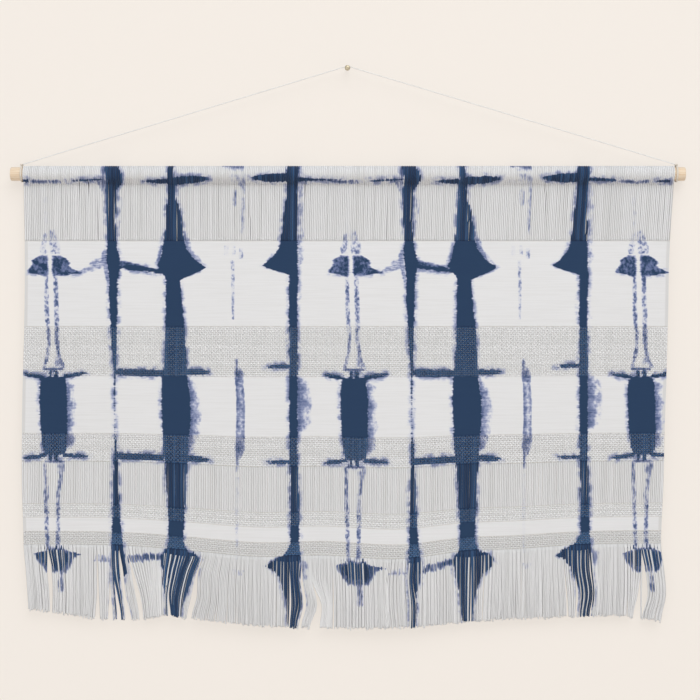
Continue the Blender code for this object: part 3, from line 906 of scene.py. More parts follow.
@dataclass(frozen=True)
class DyedCotton:
    """Cotton dyed with indigo, read from the attributes dye, mottle, bleed, speck and yarn.

    The four marks give one amount of dye, which goes from a violet blush to full navy. The teeth of a
    dyed edge and the streaks in the dye run along the yarns that show.
    """

    name: str
    white: Colour
    shade: Colour
    navy: Colour
    deep: Colour
    teeth: tuple[float, float, float]
    streaks: tuple[float, float, float]
    spots: tuple[float, float, float] = (0.3, 0.3, 0.26)
    ragged: float = 4.5
    soft: float = 0.5
    woven: bool = False
    blush: Colour = (212, 216, 230)
    violet: Colour = (164, 172, 203)
    blue: Colour = (94, 109, 149)
    stops: tuple[float, ...] = (0.0, 0.3, 0.62, 0.86, 1.0)
    weave: tuple[float, float] = (1.1, 0.9)

    def amount(self, g: Graph, streak: Socket) -> Socket:
        """Works out how much dye the cotton holds.

        Args:
            g: the material's graph.
            streak: the noise of its streaks.

        Returns:
            The amount, 0 to 1.
        """
        tooth = g.math("SUBTRACT", g.noise(self.teeth, 3.0), 0.5)
        blotch = g.noise((0.11, 0.11, 0.11), 3.0)
        spot = g.noise(self.spots, 2.0)
        edge = g.math("MULTIPLY_ADD", tooth, self.ragged, g.attribute(Tone.NAVY.value))
        edge = g.math("MULTIPLY_ADD", g.math("SUBTRACT", blotch, 0.5), 2.5, edge)
        halo = g.math("MULTIPLY", g.ramp(edge, -6.5, 0.6, 0.0, 0.46), g.ramp(blotch, 0.35, 0.65, 0.3, 1.0))
        full = g.math("MAXIMUM", halo, g.ramp(edge, -self.soft, self.soft + 0.9))
        mottle = g.math("MULTIPLY_ADD", tooth, 4.0, g.attribute(Tone.MOTTLE.value))
        patch = g.ramp(g.math("ADD", spot, blotch), 0.7, 1.3, 0.56, 0.95)
        mottled = g.math("MULTIPLY", g.ramp(mottle, *FADES[Tone.MOTTLE]), patch)
        share = g.attribute(Tone.BLEED.value)
        cloud = g.math("MULTIPLY_ADD", spot, 1.0, g.math("MULTIPLY_ADD", blotch, 1.2, share))
        clouded = g.math("MULTIPLY", g.ramp(cloud, 0.9, 2.25, 0.0, 0.74), g.ramp(share, 0.0, 0.25))
        bleed = g.math("MULTIPLY", clouded, g.ramp(streak, 0.3, 0.7, 0.75, 1.0))
        inner = g.math("MINIMUM", g.attribute(Tone.SPECK.value), 2.4)
        speck = g.math("MULTIPLY_ADD", inner, 0.26, g.math("MULTIPLY", spot, 4.0))
        speck = g.math("MULTIPLY_ADD", blotch, 3.0, speck)
        strength = g.ramp(g.attribute(Tone.SPECK.value), *FADES[Tone.SPECK])
        specked = g.math("MULTIPLY", g.ramp(speck, 3.1, 5.05, 0.16, 0.72), strength)
        most = g.math("MAXIMUM", g.math("MAXIMUM", full, mottled), g.math("MAXIMUM", bleed, specked))
        return g.math("MINIMUM", most, 1.0)

    def make(self) -> Material:
        """Builds the material.

        Returns:
            The material.
        """
        g = Graph(self.name)
        streak = g.noise(self.streaks, 3.0)
        amount = self.amount(g, streak)
        bare = g.mix(g.attribute("yarn"), linear(*self.white), linear(*self.shade))
        bare = g.mix(g.ramp(streak, 0.35, 0.75, 0.0, 0.3), bare, linear(*self.shade))
        tone = g.math("ADD", g.math("MULTIPLY", streak, 0.6), g.math("MULTIPLY", g.attribute("yarn"), 0.5))
        colours = (self.blush, self.violet, self.blue, self.navy, self.navy)
        dyed = g.palette(amount, tuple(zip(self.stops, colours)))
        depth = g.math("MULTIPLY", g.ramp(tone, 0.9, 0.2), g.ramp(amount, 0.6, 0.95))
        dyed = g.mix(depth, dyed, linear(*self.deep))
        colour = g.mix(g.ramp(amount, 0.0, 0.42), bare, dyed)
        grit = g.noise((0.9, 0.9, 0.9), 2.0)
        if self.woven:
            split = g.node("ShaderNodeSeparateXYZ")
            g.link(g.place, split.inputs[0])
            waves = [
                g.math("SINE", g.math("MULTIPLY", split.outputs[axis], math.tau / (pitch * MM)))
                for axis, pitch in zip("XZ", self.weave)
            ]
            over = g.math("MULTIPLY_ADD", g.math("MULTIPLY", *waves), 0.5, 0.5)
            g.bump(g.math("MULTIPLY_ADD", grit, 0.4, over), 0.16, 0.3)
        else:
            g.bump(grit, 0.15, 0.3)
        g.shader.inputs["Sheen Weight"].default_value = 0.1
        g.shader.inputs["Sheen Roughness"].default_value = 0.5
        g.shader.inputs["Specular IOR Level"].default_value = 0.2
        return g.finish(colour, 0.9)


@dataclass(frozen=True)
class BirchDowel:
    """Pale birch with its grain along the rod."""

    light: Colour = (243, 226, 203)
    grain: Colour = (222, 192, 156)
    pore: Colour = (194, 154, 114)

    def make(self) -> Material:
        """Builds the material.

        Returns:
            The material.
        """
        g = Graph("birch_dowel")
        bands = g.noise((0.012, 0.45, 0.45), 4.0)
        pores = g.noise((0.08, 2.4, 2.4), 2.0)
        colour = g.mix(g.ramp(bands, 0.3, 0.75), linear(*self.light), linear(*self.grain))
        colour = g.mix(g.ramp(pores, 0.56, 0.78, 0.0, 0.6), colour, linear(*self.pore))
        g.bump(g.math("SUBTRACT", bands, g.ramp(pores, 0.55, 0.8)), 0.12, 0.35)
        g.shader.inputs["Specular IOR Level"].default_value = 0.4
        return g.finish(colour, 0.5)


@dataclass(frozen=True)
class CottonTwine:
    """Undyed twine, with a little shade between its fibres."""

    name: str = "cotton_twine"
    white: Colour = (244, 243, 241)
    shade: Colour = (232, 231, 228)

    def make(self) -> Material:
        """Builds the material.

        Returns:
            The material.
        """
        g = Graph(self.name)
        fibres = g.noise((1.8, 2.5, 2.5), 3.0)
        colour = g.mix(g.ramp(fibres, 0.3, 0.75), linear(*self.white), linear(*self.shade))
        g.bump(fibres, 0.12, 0.4)
        g.shader.inputs["Sheen Weight"].default_value = 0.15
        return g.finish(colour, 0.85)


@dataclass(frozen=True)
class DullBrass:
    """Lacquered brass, dulled and a little scuffed."""

    face: Colour = (222, 212, 188)
    dull: Colour = (176, 160, 124)

    def make(self) -> Material:
        """Builds the material.

        Returns:
            The material.
        """
        g = Graph("dull_brass")
        scuffs = g.noise((1.2, 1.2, 1.2), 4.0)
        colour = g.mix(g.ramp(scuffs, 0.35, 0.7), linear(*self.face), linear(*self.dull))
        g.bump(scuffs, 0.05, 0.3)
        g.shader.inputs["Metallic"].default_value = 0.55
        return g.finish(colour, 0.38)


WOVEN = DyedCotton(
    "woven_cotton", (231, 232, 234), (214, 214, 214), (42, 66, 98), (39, 62, 93),
    teeth=(0.14, 0.1, 0.65), streaks=(0.02, 0.02, 0.8), ragged=6.5, soft=0.8, woven=True,
)
MESHED = DyedCotton(
    "meshed_cotton", (245, 246, 247), (204, 204, 203), (78, 112, 152), (54, 84, 122),
    teeth=(0.3, 0.1, 0.5), streaks=(0.3, 0.1, 0.3),
)
STRUNG = DyedCotton(
    "strung_cotton", (235, 236, 238), (225, 226, 227), (58, 92, 134), (30, 54, 88),
    teeth=(0.5, 0.1, 0.1), streaks=(0.6, 0.1, 0.02), spots=(0.5, 0.1, 0.12), ragged=4.2,
)
# Darker cotton for the edge cords: painted shade, which draws the thin shadow line along each band's edge
SHADED_EDGING = DyedCotton(
    "edging_cotton_painted_shade", (214, 213, 209), (196, 195, 190), (48, 72, 104), (30, 50, 82),
    teeth=(0.3, 0.1, 0.5), streaks=(0.3, 0.1, 0.3),
)

# The pieces


class Lamp(NamedTuple):
    """A square soft light: its name, its place and side in metres, and its watts."""

    name: str
    place: tuple[float, float, float]
    size: float
    power: float


@dataclass
class Studio:
    """The camera, the lights, and the stage's wall and floor."""

    lens: float = 85.0
    sensor: float = 36.0
    frame_width: float = 859.0
    look_x: float = 3.1
    look_drop: float = 346.0
    floor_drop: float = 1150.0
    wall_colour: Colour = (247, 240, 233)
    wall_seen: Colour = (243, 236, 228)
    evenness: float = 0.7
    world_strength: float = 0.48
    stage_size: float = 9.0
    lamps: tuple[Lamp, ...] = (
        Lamp("key", (0.8, -2.6, 2.6), 3.0, 85.0),
        Lamp("fill", (-2.2, -3.0, 0.4), 3.0, 17.0),
    )

    def camera(self) -> None:
        """Puts the camera square to the cloth, as far away as the frame's width asks."""
        data = bpy.data.cameras.new("camera")
        data.lens, data.sensor_width = self.lens, self.sensor
        eye = bpy.data.objects.new("camera", data)
        bpy.context.scene.collection.objects.link(eye)
        away = self.frame_width * self.lens / self.sensor
        eye.location = (self.look_x * MM, (ROD_Y - away) * MM, -self.look_drop * MM)
        eye.rotation_euler = (math.pi / 2, 0.0, 0.0)
        bpy.context.scene.camera = eye

    def light(self, lamp: Lamp) -> None:
        """Adds a lamp that looks at the cloth.

        Args:
            lamp: the lamp.
        """
        data = bpy.data.lights.new(lamp.name, "AREA")
        data.shape, data.size, data.energy = "SQUARE", lamp.size, lamp.power
        light = bpy.data.objects.new(lamp.name, data)
        bpy.context.scene.collection.objects.link(light)
        light.location = lamp.place
        light.visible_camera = False
        towards = np.array((0.0, 0.0, -self.look_drop * MM)) - np.array(lamp.place)
        flat = math.hypot(towards[0], towards[1])
        light.rotation_euler = (
            math.atan2(flat, -towards[2]),
            0.0,
            math.atan2(towards[1], towards[0]) - math.pi / 2,
        )

    def lights(self) -> None:
        """Lights the cloth softly from above, right and front, under a pale world."""
        for lamp in self.lamps:
            self.light(lamp)
        world = bpy.data.worlds.new("pale_room")
        world.use_nodes = True
        sky = world.node_tree.nodes["Background"]
        sky.inputs["Color"].default_value = (1.0, 1.0, 1.0, 1.0)
        sky.inputs["Strength"].default_value = self.world_strength
        bpy.context.scene.world = world
        bpy.context.scene.view_settings.view_transform = "Standard"

    def paint(self, name: str, see_from_behind: bool) -> Material:
        """Makes the stage's paint.

        Args:
            name: the material's name.
            see_from_behind: whether its back lets the view through.

        Returns:
            The material.
        """
        g = Graph(name)
        g.shader.inputs["Base Color"].default_value = linear(*self.wall_colour)
        g.shader.inputs["Roughness"].default_value = 0.95
        g.shader.inputs["Specular IOR Level"].default_value = 0.0
        if see_from_behind:
            clear, choice = g.node("ShaderNodeBsdfTransparent"), g.node("ShaderNodeMixShader")
            even, blend = g.node("ShaderNodeEmission"), g.node("ShaderNodeMixShader")
            even.inputs["Color"].default_value = linear(*self.wall_seen)
            blend.inputs["Fac"].default_value = self.evenness
            g.link(g.shader.outputs["BSDF"], blend.inputs[1])
            g.link(even.outputs["Emission"], blend.inputs[2])
            g.link(g.node("ShaderNodeNewGeometry").outputs["Backfacing"], choice.inputs["Fac"])
            g.link(blend.outputs[0], choice.inputs[1])
            g.link(clear.outputs["BSDF"], choice.inputs[2])
            g.link(choice.outputs[0], g.tree.nodes["Material Output"].inputs["Surface"])
        return g.material

    def stage(self) -> None:
        """Adds the wall, which only the camera sees, and the floor below the view."""
        deselect()
        bpy.ops.mesh.primitive_plane_add(size=self.stage_size, rotation=(math.pi / 2, 0, 0))
        wall = named("stage_wall")
        wall.data.materials.append(self.paint("stage_wall_paint", True))
        wall.visible_diffuse = wall.visible_glossy = False
        wall.visible_transmission = wall.visible_shadow = False
        bpy.ops.mesh.primitive_plane_add(size=self.stage_size, location=(0, 0, -self.floor_drop * MM))
        floor = named("stage_floor")
        floor.data.materials.append(self.paint("stage_floor_paint", False))


@dataclass
class Dowel:
    """The wooden rod, with eased ends."""

    easing: float = 1.2
    steps: int = 5
    sides: int = 64

    def build(self) -> None:
        """Turns the rod along X and dresses it."""
        foot = [
            (ROD_RADIUS - self.easing * (1 - math.sin(a)), ROD_LEFT + self.easing * (1 - math.cos(a)))
            for a in np.linspace(0.0, math.pi / 2, self.steps)
        ]
        top = [(radius, ROD_LEFT + ROD_RIGHT - x) for radius, x in reversed(foot)]
        rod = turned("birch_rod", self.sides, foot + top)
        points = points_of(rod.piece) / MM
        write_points(rod.piece, rows_of(points[:, 2], points[:, 0] + ROD_Y, points[:, 1] - ROD_DROP))
        seated(rod.piece, ["rod"], BirchDowel().make())
        LOG.info("dowel: %d points", len(points))


class Slit(NamedTuple):
    """A place where the front legs part: its middle, its width, and the drop and reach of its opening."""

    x: float
    width: float
    drop: float
    reach: float


@dataclass
class Loops:
    """The warp's end loops: a front leg up to the rod, round it, and a back leg down to the first weft.

    The legs close up under the rod, so each loop leaves it along a tangent and then hangs straight. A
    back leg hangs behind the gap between two front legs.
    """

    clearance: float = 0.35
    neck: float = 12.3
    leg_gap: float = 2.0
    half_width: float = 1.14
    half_leg_width: float = 1.12
    half_thickness: float = 0.72
    half_leg_thickness: float = 0.38
    leg_steps: int = 18
    neck_steps: int = 6
    round_steps: int = 14
    back_steps: int = 3
    stray: float = 0.07
    most_stray: float = 0.6
    foot_inset: float = 0.9
    slit_spread: float = 9.0
    slits: tuple[Slit, ...] = (
        Slit(-329.0, 0.9, 144.0, 12.0),
        Slit(-317.0, 1.3, 143.0, 14.0),
        Slit(-306.0, 1.0, 195.0, 20.0),
        Slit(-292.5, 1.3, 164.0, 24.0),
        Slit(-286.5, 1.3, 176.0, 26.0),
        Slit(78.0, 1.2, 170.0, 26.0),
        Slit(-209.5, 1.5, 196.0, 22.0),
        Slit(-120.0, 0.8, 190.0, 22.0),
        Slit(-52.0, 0.9, 150.0, 14.0),
        Slit(48.0, 0.8, 196.0, 16.0),
        Slit(148.5, 1.2, 192.0, 20.0),
        Slit(243.0, 0.8, 160.0, 20.0),
        Slit(293.0, 1.6, 196.0, 24.0),
    )

    def section(self) -> Array:
        """Works out a loop from the front leg's foot to the back leg's foot.

        Returns:
            Rows of (y, drop, the normal's turn from straight down, 1 on the rod and 0 on a leg, 0 in front
            and 1 behind).
        """
        radius = ROD_RADIUS + self.clearance + self.half_thickness
        away = math.hypot(self.neck, self.leg_gap)
        start = math.tau - math.acos(radius / self.neck)
        end = math.atan2(self.leg_gap, self.neck) + math.acos(radius / away)
        rows = []
        for share in np.linspace(0.0, 1.0, self.leg_steps, endpoint=False):
            rows.append((0.0, FIRST_WEFT + 1 - ROD_DROP + (self.neck + ROD_DROP - FIRST_WEFT - 1) * share,
                         1.5 * math.pi, 0.0, 0.0))
        for share in np.linspace(0.0, 1.0, self.neck_steps, endpoint=False):
            rows.append((radius * math.sin(start) * share,
                         self.neck + (radius * math.cos(start) - self.neck) * share,
                         start if share else (start + 1.5 * math.pi) / 2, share, 0.0))
        for share in np.linspace(0.0, 1.0, self.round_steps + 1):
            angle = start + (end - start) * share
            rows.append((radius * math.sin(angle), radius * math.cos(angle), angle, 1.0, share))
        rows.append((self.leg_gap, self.neck, (end + math.pi / 2) / 2, 0.0, 1.0))
        for share in np.linspace(0.0, 1.0, self.back_steps + 1)[1:]:
            rows.append((self.leg_gap - self.foot_inset * share,
                         self.neck + (FIRST_WEFT - ROD_DROP - 1 - self.neck) * share,
                         math.pi / 2, 0.0, 1.0))
        return np.array(rows) + (ROD_Y, ROD_DROP, 0.0, 0.0, 0.0)

    def build(self, cotton: Material) -> Piece:
        """Lays the loops and dresses them.

        Args:
            cotton: their material.

        Returns:
            The piece.
        """
        rows = self.section()
        steps = len(rows) - 1
        yarns = spun("warp_loops", 4, (steps,), WARP_COUNT)
        y, drop, angle, turn, behind = rows[np.rint(yarns.along * steps).astype(int)].T
        rng = np.random.default_rng(SEED)
        stray = rng.normal(0.0, self.stray, WARP_COUNT).clip(-self.most_stray, self.most_stray)[yarns.number]
        x = across((yarns.number + 0.5 + 0.5 * behind) / (WARP_COUNT + 0.5), drop)
        leg = np.sin(np.pi * np.clip((drop - ROD_DROP) / (FIRST_WEFT - ROD_DROP), 0.0, 1.0))
        x = x + stray * (leg * (1 - turn) + 0.2 * turn)
        for slit in self.slits:
            opening = slit.width / 2 * np.exp(-(((drop - slit.drop) / slit.reach) ** 2))
            away = x - slit.x
            opening = opening * np.exp(-np.abs(away) / self.slit_spread)
            x = x + np.sign(away) * opening * (1 - turn) * (behind < 0.5)
        centre = rows_of(x, y + stray * 0.2 * (1 - turn), -drop)
        wide = self.half_leg_width + (self.half_width - self.half_leg_width) * turn
        thick = self.half_leg_thickness + (self.half_thickness - self.half_leg_thickness) * turn
        outwards = rows_of(0.0, np.sin(angle) * thick, -np.cos(angle) * thick)
        write_points(yarns.piece, laid(yarns, centre, rows_of(-wide, 0.0, 0.0), outwards))
        inner = (behind > 0.95) & (drop > ROD_DROP) & (np.sin(yarns.around) < -0.5)
        marks = charted(x, drop - UNDYED_SHIFT * inner)
        tone = mostly_light(rng, WARP_COUNT)[yarns.number]
        dyed_piece(yarns.piece, marks, tone, "woven_cloth", cotton)
        LOG.info("warp loops: %d points", len(x))
        return yarns.piece


@dataclass
class PlainBand:
    """A closely woven band, as a thin closed sheet with a firm edge above and below."""

    name: str
    top: float
    bottom: float
    thickness: float = 1.3
    row: float = 3.0
    selvedge: float = 4.3
    selvedge_painted_shade: float = 0.85
    tone: float = 0.08

    def build(self, cotton: Material) -> Piece:
        """Weaves the band and dresses it.

        Args:
            cotton: its material.

        Returns:
            The piece.
        """
        rows = max(2, round((self.bottom - self.top) / self.row))
        deselect()
        bpy.ops.mesh.primitive_grid_add(x_subdivisions=2 * WARP_COUNT, y_subdivisions=rows, size=2.0)
        piece = named(self.name)
        points = points_of(piece)
        drop = self.bottom - (self.bottom - self.top) * (points[:, 1] + 1) / 2
        x = across((points[:, 0] + 1) / 2, drop)
        write_points(piece, rows_of(x, ROD_Y, -drop))
        wall = piece.modifiers.new("thickness", "SOLIDIFY")
        wall.thickness = self.thickness * MM
        wall.offset = 0.0
        apply(piece, wall)
        bpy.ops.object.shade_smooth_by_angle(angle=math.radians(60))
        flat = points_of(piece) / MM
        x, y, drop = flat[:, 0], flat[:, 1], -flat[:, 2]
        write_points(piece, hung(rows_of(x, y, drop)))
        inside = np.minimum(x - across(np.zeros_like(x), drop), across(np.ones_like(x), drop) - x)
        # The strip along each side takes more of the shade colour: painted shade along the selvedge
        tone = np.where(inside < self.selvedge, self.selvedge_painted_shade, self.tone)
        dyed_piece(piece, charted(x, drop), tone, "woven_cloth", cotton)
        LOG.info("%s: %d points", self.name, len(x))
        return piece


@dataclass
class OpenBands:
    """The open mesh bands and the bare warp: straight warps, and wefts that go over and under them."""

    pitch: float = 2.4
    swing: float = 0.66
    weft_half_height: float = 1.06
    weft_half_thickness: float = 0.36
    warp_half_width: float = 0.92
    warp_half_thickness: float = 0.38
    bare: tuple[float, float] = (482.2, 534.4)
    bare_steps: int = 7
    hem_mesh: float = 568.0
    hem_shade: float = 0.34
    weft_stray: float = 0.06
    weft_wander: float = 0.12
    warp_stray: float = 0.12
    warp_depth: float = 0.08
    bare_spread: float = 0.2
    weft_steps: int = 24
    meshes: dict[str, tuple[tuple[float, float], ...]] = field(
        default_factory=lambda: {
            "upper_mesh_wefts": ((317.2, 377.9),),
            "lower_mesh_wefts": ((447.9, 482.2), (534.4, 551.4), (568.1, 584.0)),
        }
    )

    def rows(self, band: tuple[float, float]) -> Array:
        """The wefts' drops in a band.

        Args:
            band: its top and its bottom.

        Returns:
            The drops, evenly apart, half a pitch inside the band.
        """
        count = round((band[1] - band[0]) / self.pitch)
        return band[0] + (np.arange(count) + 0.5) * (band[1] - band[0]) / count

    def wefts(self, name: str, cotton: Material) -> Piece:
        """Lays the wefts of one or more mesh bands.

        Args:
            name: the piece's name.
            cotton: their material.

        Returns:
            The piece.
        """
        drops = np.concatenate([self.rows(band) for band in self.meshes[name]])
        factors = (self.weft_steps, 2 * WARP_COUNT // self.weft_steps)
        yarns = spun(name, 4, factors, len(drops))
        rng = np.random.default_rng(SEED + len(drops))
        place = yarns.along * WARP_COUNT
        drop = drops[yarns.number] + rng.normal(0.0, self.weft_stray, len(drops))[yarns.number]
        drop = drop + self.weft_wander * np.sin(place * 0.9 + yarns.number * 1.7)
        x = across(yarns.along, drop)
        y = ROD_Y + self.swing * np.sin(np.pi * (place + yarns.number))
        first, second = (0.0, self.weft_half_thickness, 0.0), (0.0, 0.0, -self.weft_half_height)
        write_points(yarns.piece, hung(laid(yarns, rows_of(x, y, drop), first, second)))
        tone = 0.4 * rng.random(len(drops)) + self.hem_shade * (drops > self.hem_mesh)
        dyed_piece(yarns.piece, charted(x, drop), tone[yarns.number], "woven_cloth", cotton)
        LOG.info("%s: %d wefts", name, len(drops))
        return yarns.piece

    def warps(self, cotton: Material) -> Piece:
        """Lays the warps from the first mesh band to the hem, through the plain bands.

        Args:
            cotton: their material.

        Returns:
            The piece.
        """
        stations, crossing = [], []
        for band in (band for bands in self.meshes.values() for band in bands):
            drops = self.rows(band)
            stations += [band[0] - 1.0, *drops, band[1] + (1.0 if band[1] < HEM else 0.0)]
            crossing += [0, *np.arange(len(drops)) % 2 * 2 - 1, 0]
        bare = np.linspace(*self.bare, self.bare_steps + 2)[1:-1]
        stations, crossing = np.array([*stations, *bare]), np.array([*crossing, *(0 * bare)])
        order = np.argsort(stations)
        stations, crossing = stations[order], crossing[order]
        steps = len(stations) - 1
        factors = (steps,) if steps < 101 else (steps // 2, 2)
        yarns = spun("warp_yarns", 4, factors, WARP_COUNT)
        ring = np.rint(yarns.along * steps).astype(int)
        drop = stations[ring]
        rng = np.random.default_rng(SEED + 1)
        u = (yarns.number + 0.5) / WARP_COUNT
        start, length = self.bare[0] - 3, self.bare[1] - self.bare[0] + 6
        bared = np.sin(np.pi * np.clip((drop - start) / length, 0.0, 1.0))
        x = across(u, drop) + rng.normal(0.0, self.warp_stray, WARP_COUNT)[yarns.number] * bared
        side = crossing[ring] * (1 - 2 * (yarns.number % 2))
        depth = rng.normal(0.0, self.warp_depth, WARP_COUNT)[yarns.number]
        y = ROD_Y + self.swing * 0.75 * side + depth * bared
        wide = self.warp_half_width + self.bare_spread * np.clip(6 * bared, 0.0, 1.0)
        first, second = rows_of(wide, 0.0, 0.0), (0.0, -self.warp_half_thickness, 0.0)
        write_points(yarns.piece, hung(laid(yarns, rows_of(x, y, drop), first, second)))
        tone = mostly_light(rng, WARP_COUNT)[yarns.number]
        dyed_piece(yarns.piece, charted(x, drop), tone, "woven_cloth", cotton)
        LOG.info("warp yarns: %d rings each", steps + 1)
        return yarns.piece


@dataclass
class EdgeCords:
    """The twined yarns that close the bands' edges, a little proud of the cloth, in a darker cotton that
    paints the thin shadow line along each edge.
    """

    drops: tuple[float, ...] = (212.3, 317.0, 447.9, 482.2, 534.4, 551.2, 568.3, 583.7)
    half_height: float = 0.42
    half_thickness: float = 0.82
    steps: int = 240

    def build(self, cotton: Material) -> Piece:
        """Lays the cords and dresses them.

        Args:
            cotton: their material.

        Returns:
            The piece.
        """
        yarns = spun("edge_cords", 6, (self.steps // 16, 16), len(self.drops))
        drop = np.array(self.drops)[yarns.number]
        x = across(yarns.along, drop)
        first, second = (0.0, self.half_thickness, 0.0), (0.0, 0.0, -self.half_height)
        write_points(yarns.piece, hung(laid(yarns, rows_of(x, ROD_Y, drop), first, second)))
        dyed_piece(yarns.piece, charted(x, drop), np.zeros_like(x), "woven_cloth", cotton)
        LOG.info("edge cords: %d", len(self.drops))
        return yarns.piece


class Layer(NamedTuple):
    """A layer of the fringe: its strands, their half width, how far back it hangs, how far its bundles
    draw together, undyed and dyed, and the share of strands that the dye missed.
    """

    name: str
    strands: int
    half_width: float
    back: float
    drawn: float
    drawn_dyed: float
    undyed: float


@dataclass
class Fringe:
    """The cut warp ends below the hem, drawn into locks, with a close layer behind."""

    steps: int = 14
    layers: tuple[Layer, ...] = (
        Layer("fringe_strands", 480, 0.86, 0.0, 0.07, 0.32, 0.05),
        Layer("fringe_undertow", 400, 1.08, 0.55, 0.0, 0.0, 0.92),
    )
    half_thickness: float = 0.36
    tip_share: float = 0.85
    uneven: float = 1.1
    last_ring: float = 0.985
    dye_steps: float = 0.9
    dyed_at: float = 602.0
    margin: float = 0.6
    read_at: tuple[float, ...] = (0.0, 0.35, 0.7, 1.0)
    splay: float = 0.12
    wave: float = 0.08
    forward: float = 1.2
    depth: float = 0.15
    longest: float = 2.5

    def stray(self, root: Array, share: Array) -> Array:
        """How far a strand strays sideways with its lock.

        Args:
            root: the strand's place at the hem.
            share: the share of its length.

        Returns:
            The shift in millimetres.
        """
        shift = np.zeros_like(root)
        for lock in LOCKS:
            inside = (root >= lock.left - self.margin) & (root <= lock.right + self.margin)
            side = np.clip((root - lock.left) / (lock.right - lock.left), 0.0, 1.0)
            left = smooth(share, self.read_at, (0.0, lock.left_third, lock.left_two_thirds, lock.left_tip))
            keys = (0.0, lock.right_third, lock.right_two_thirds, lock.right_tip)
            right = smooth(share, self.read_at, keys)
            shift = np.where(inside, left + (right - left) * side, shift)
        return shift

    def lay(self, layer: Layer, cotton: Material) -> Piece:
        """Lays one layer of strands, drawn into bundles of two or three.

        Args:
            layer: the layer.
            cotton: its material.

        Returns:
            The piece.
        """
        count = layer.strands
        yarns = spun(layer.name, 4, (self.steps,), count)
        rng = np.random.default_rng(SEED + count)
        share = np.interp(yarns.along, (0.0, 1 - 1 / self.steps, 1.0), (0.0, self.last_ring, 1.0))
        roots = across((np.arange(count) + 0.5) / count, np.full(count, HEM))
        bundle = np.searchsorted(np.cumsum(rng.integers(2, 4, count)), np.arange(count), side="right")
        middles = (np.bincount(bundle, roots) / np.bincount(bundle))[bundle]
        marks = charted(roots, np.full(count, self.dyed_at))
        dyed = np.maximum(marks[Tone.NAVY.value], marks[Tone.MOTTLE.value]) > 0
        drawn = np.where(dyed, layer.drawn_dyed, layer.drawn)
        pull = drawn * rng.uniform(0.2, 1.8, count)[bundle] * (middles - roots)
        root = roots[yarns.number]
        wobble = rng.normal(0.0, 1.0, (3, count))[:, yarns.number]
        rooted, belly = np.clip(10 * share, 0.0, 1.0), np.sin(np.pi * share)
        x = root + self.stray(root, share) + wobble[0] * self.splay * share
        x = x + pull[yarns.number] * rooted
        x = x + wobble[1] * self.splay * belly + self.wave * wobble[2] * np.sin(2 * np.pi * share)
        top = hung(rows_of(root, ROD_Y, HEM - 1.0))
        tips = smooth(root, [r.x for r in FRINGE_TIPS], [r.value for r in FRINGE_TIPS])
        tips = tips + np.minimum(rng.normal(-0.5, self.uneven, count), self.longest)[yarns.number]
        z = top[:, 2] + (-tips - top[:, 2]) * share
        y = top[:, 1] + layer.back - self.forward * belly
        y = y + wobble[2] * self.depth * np.sin(np.pi * share / 1.4)
        wide = layer.half_width * (1 - (1 - self.tip_share) * share**3)
        second = rows_of(0.0, -wide * self.half_thickness / layer.half_width, 0.0)
        write_points(yarns.piece, laid(yarns, rows_of(x, y, z), rows_of(wide, 0.0, 0.0), second))
        drop = HEM + (top[:, 2] - z)
        slipped = (rng.random(count) < layer.undyed)[yarns.number] * np.clip(share * 8 - 0.6, 0.0, 1.0)
        stepped = rng.normal(0.0, self.dye_steps, count)[yarns.number] * rooted
        marks = charted(root, drop + stepped + UNDYED_SHIFT * slipped)
        dyed_piece(yarns.piece, marks, mostly_light(rng, count)[yarns.number], "fringe", cotton)
        LOG.info("%s: %d strands", layer.name, count)
        return yarns.piece

    def build(self, cotton: Material) -> list[Piece]:
        """Lays both layers.

        Args:
            cotton: their material.

        Returns:
            The pieces.
        """
        return [self.lay(layer, cotton) for layer in self.layers]


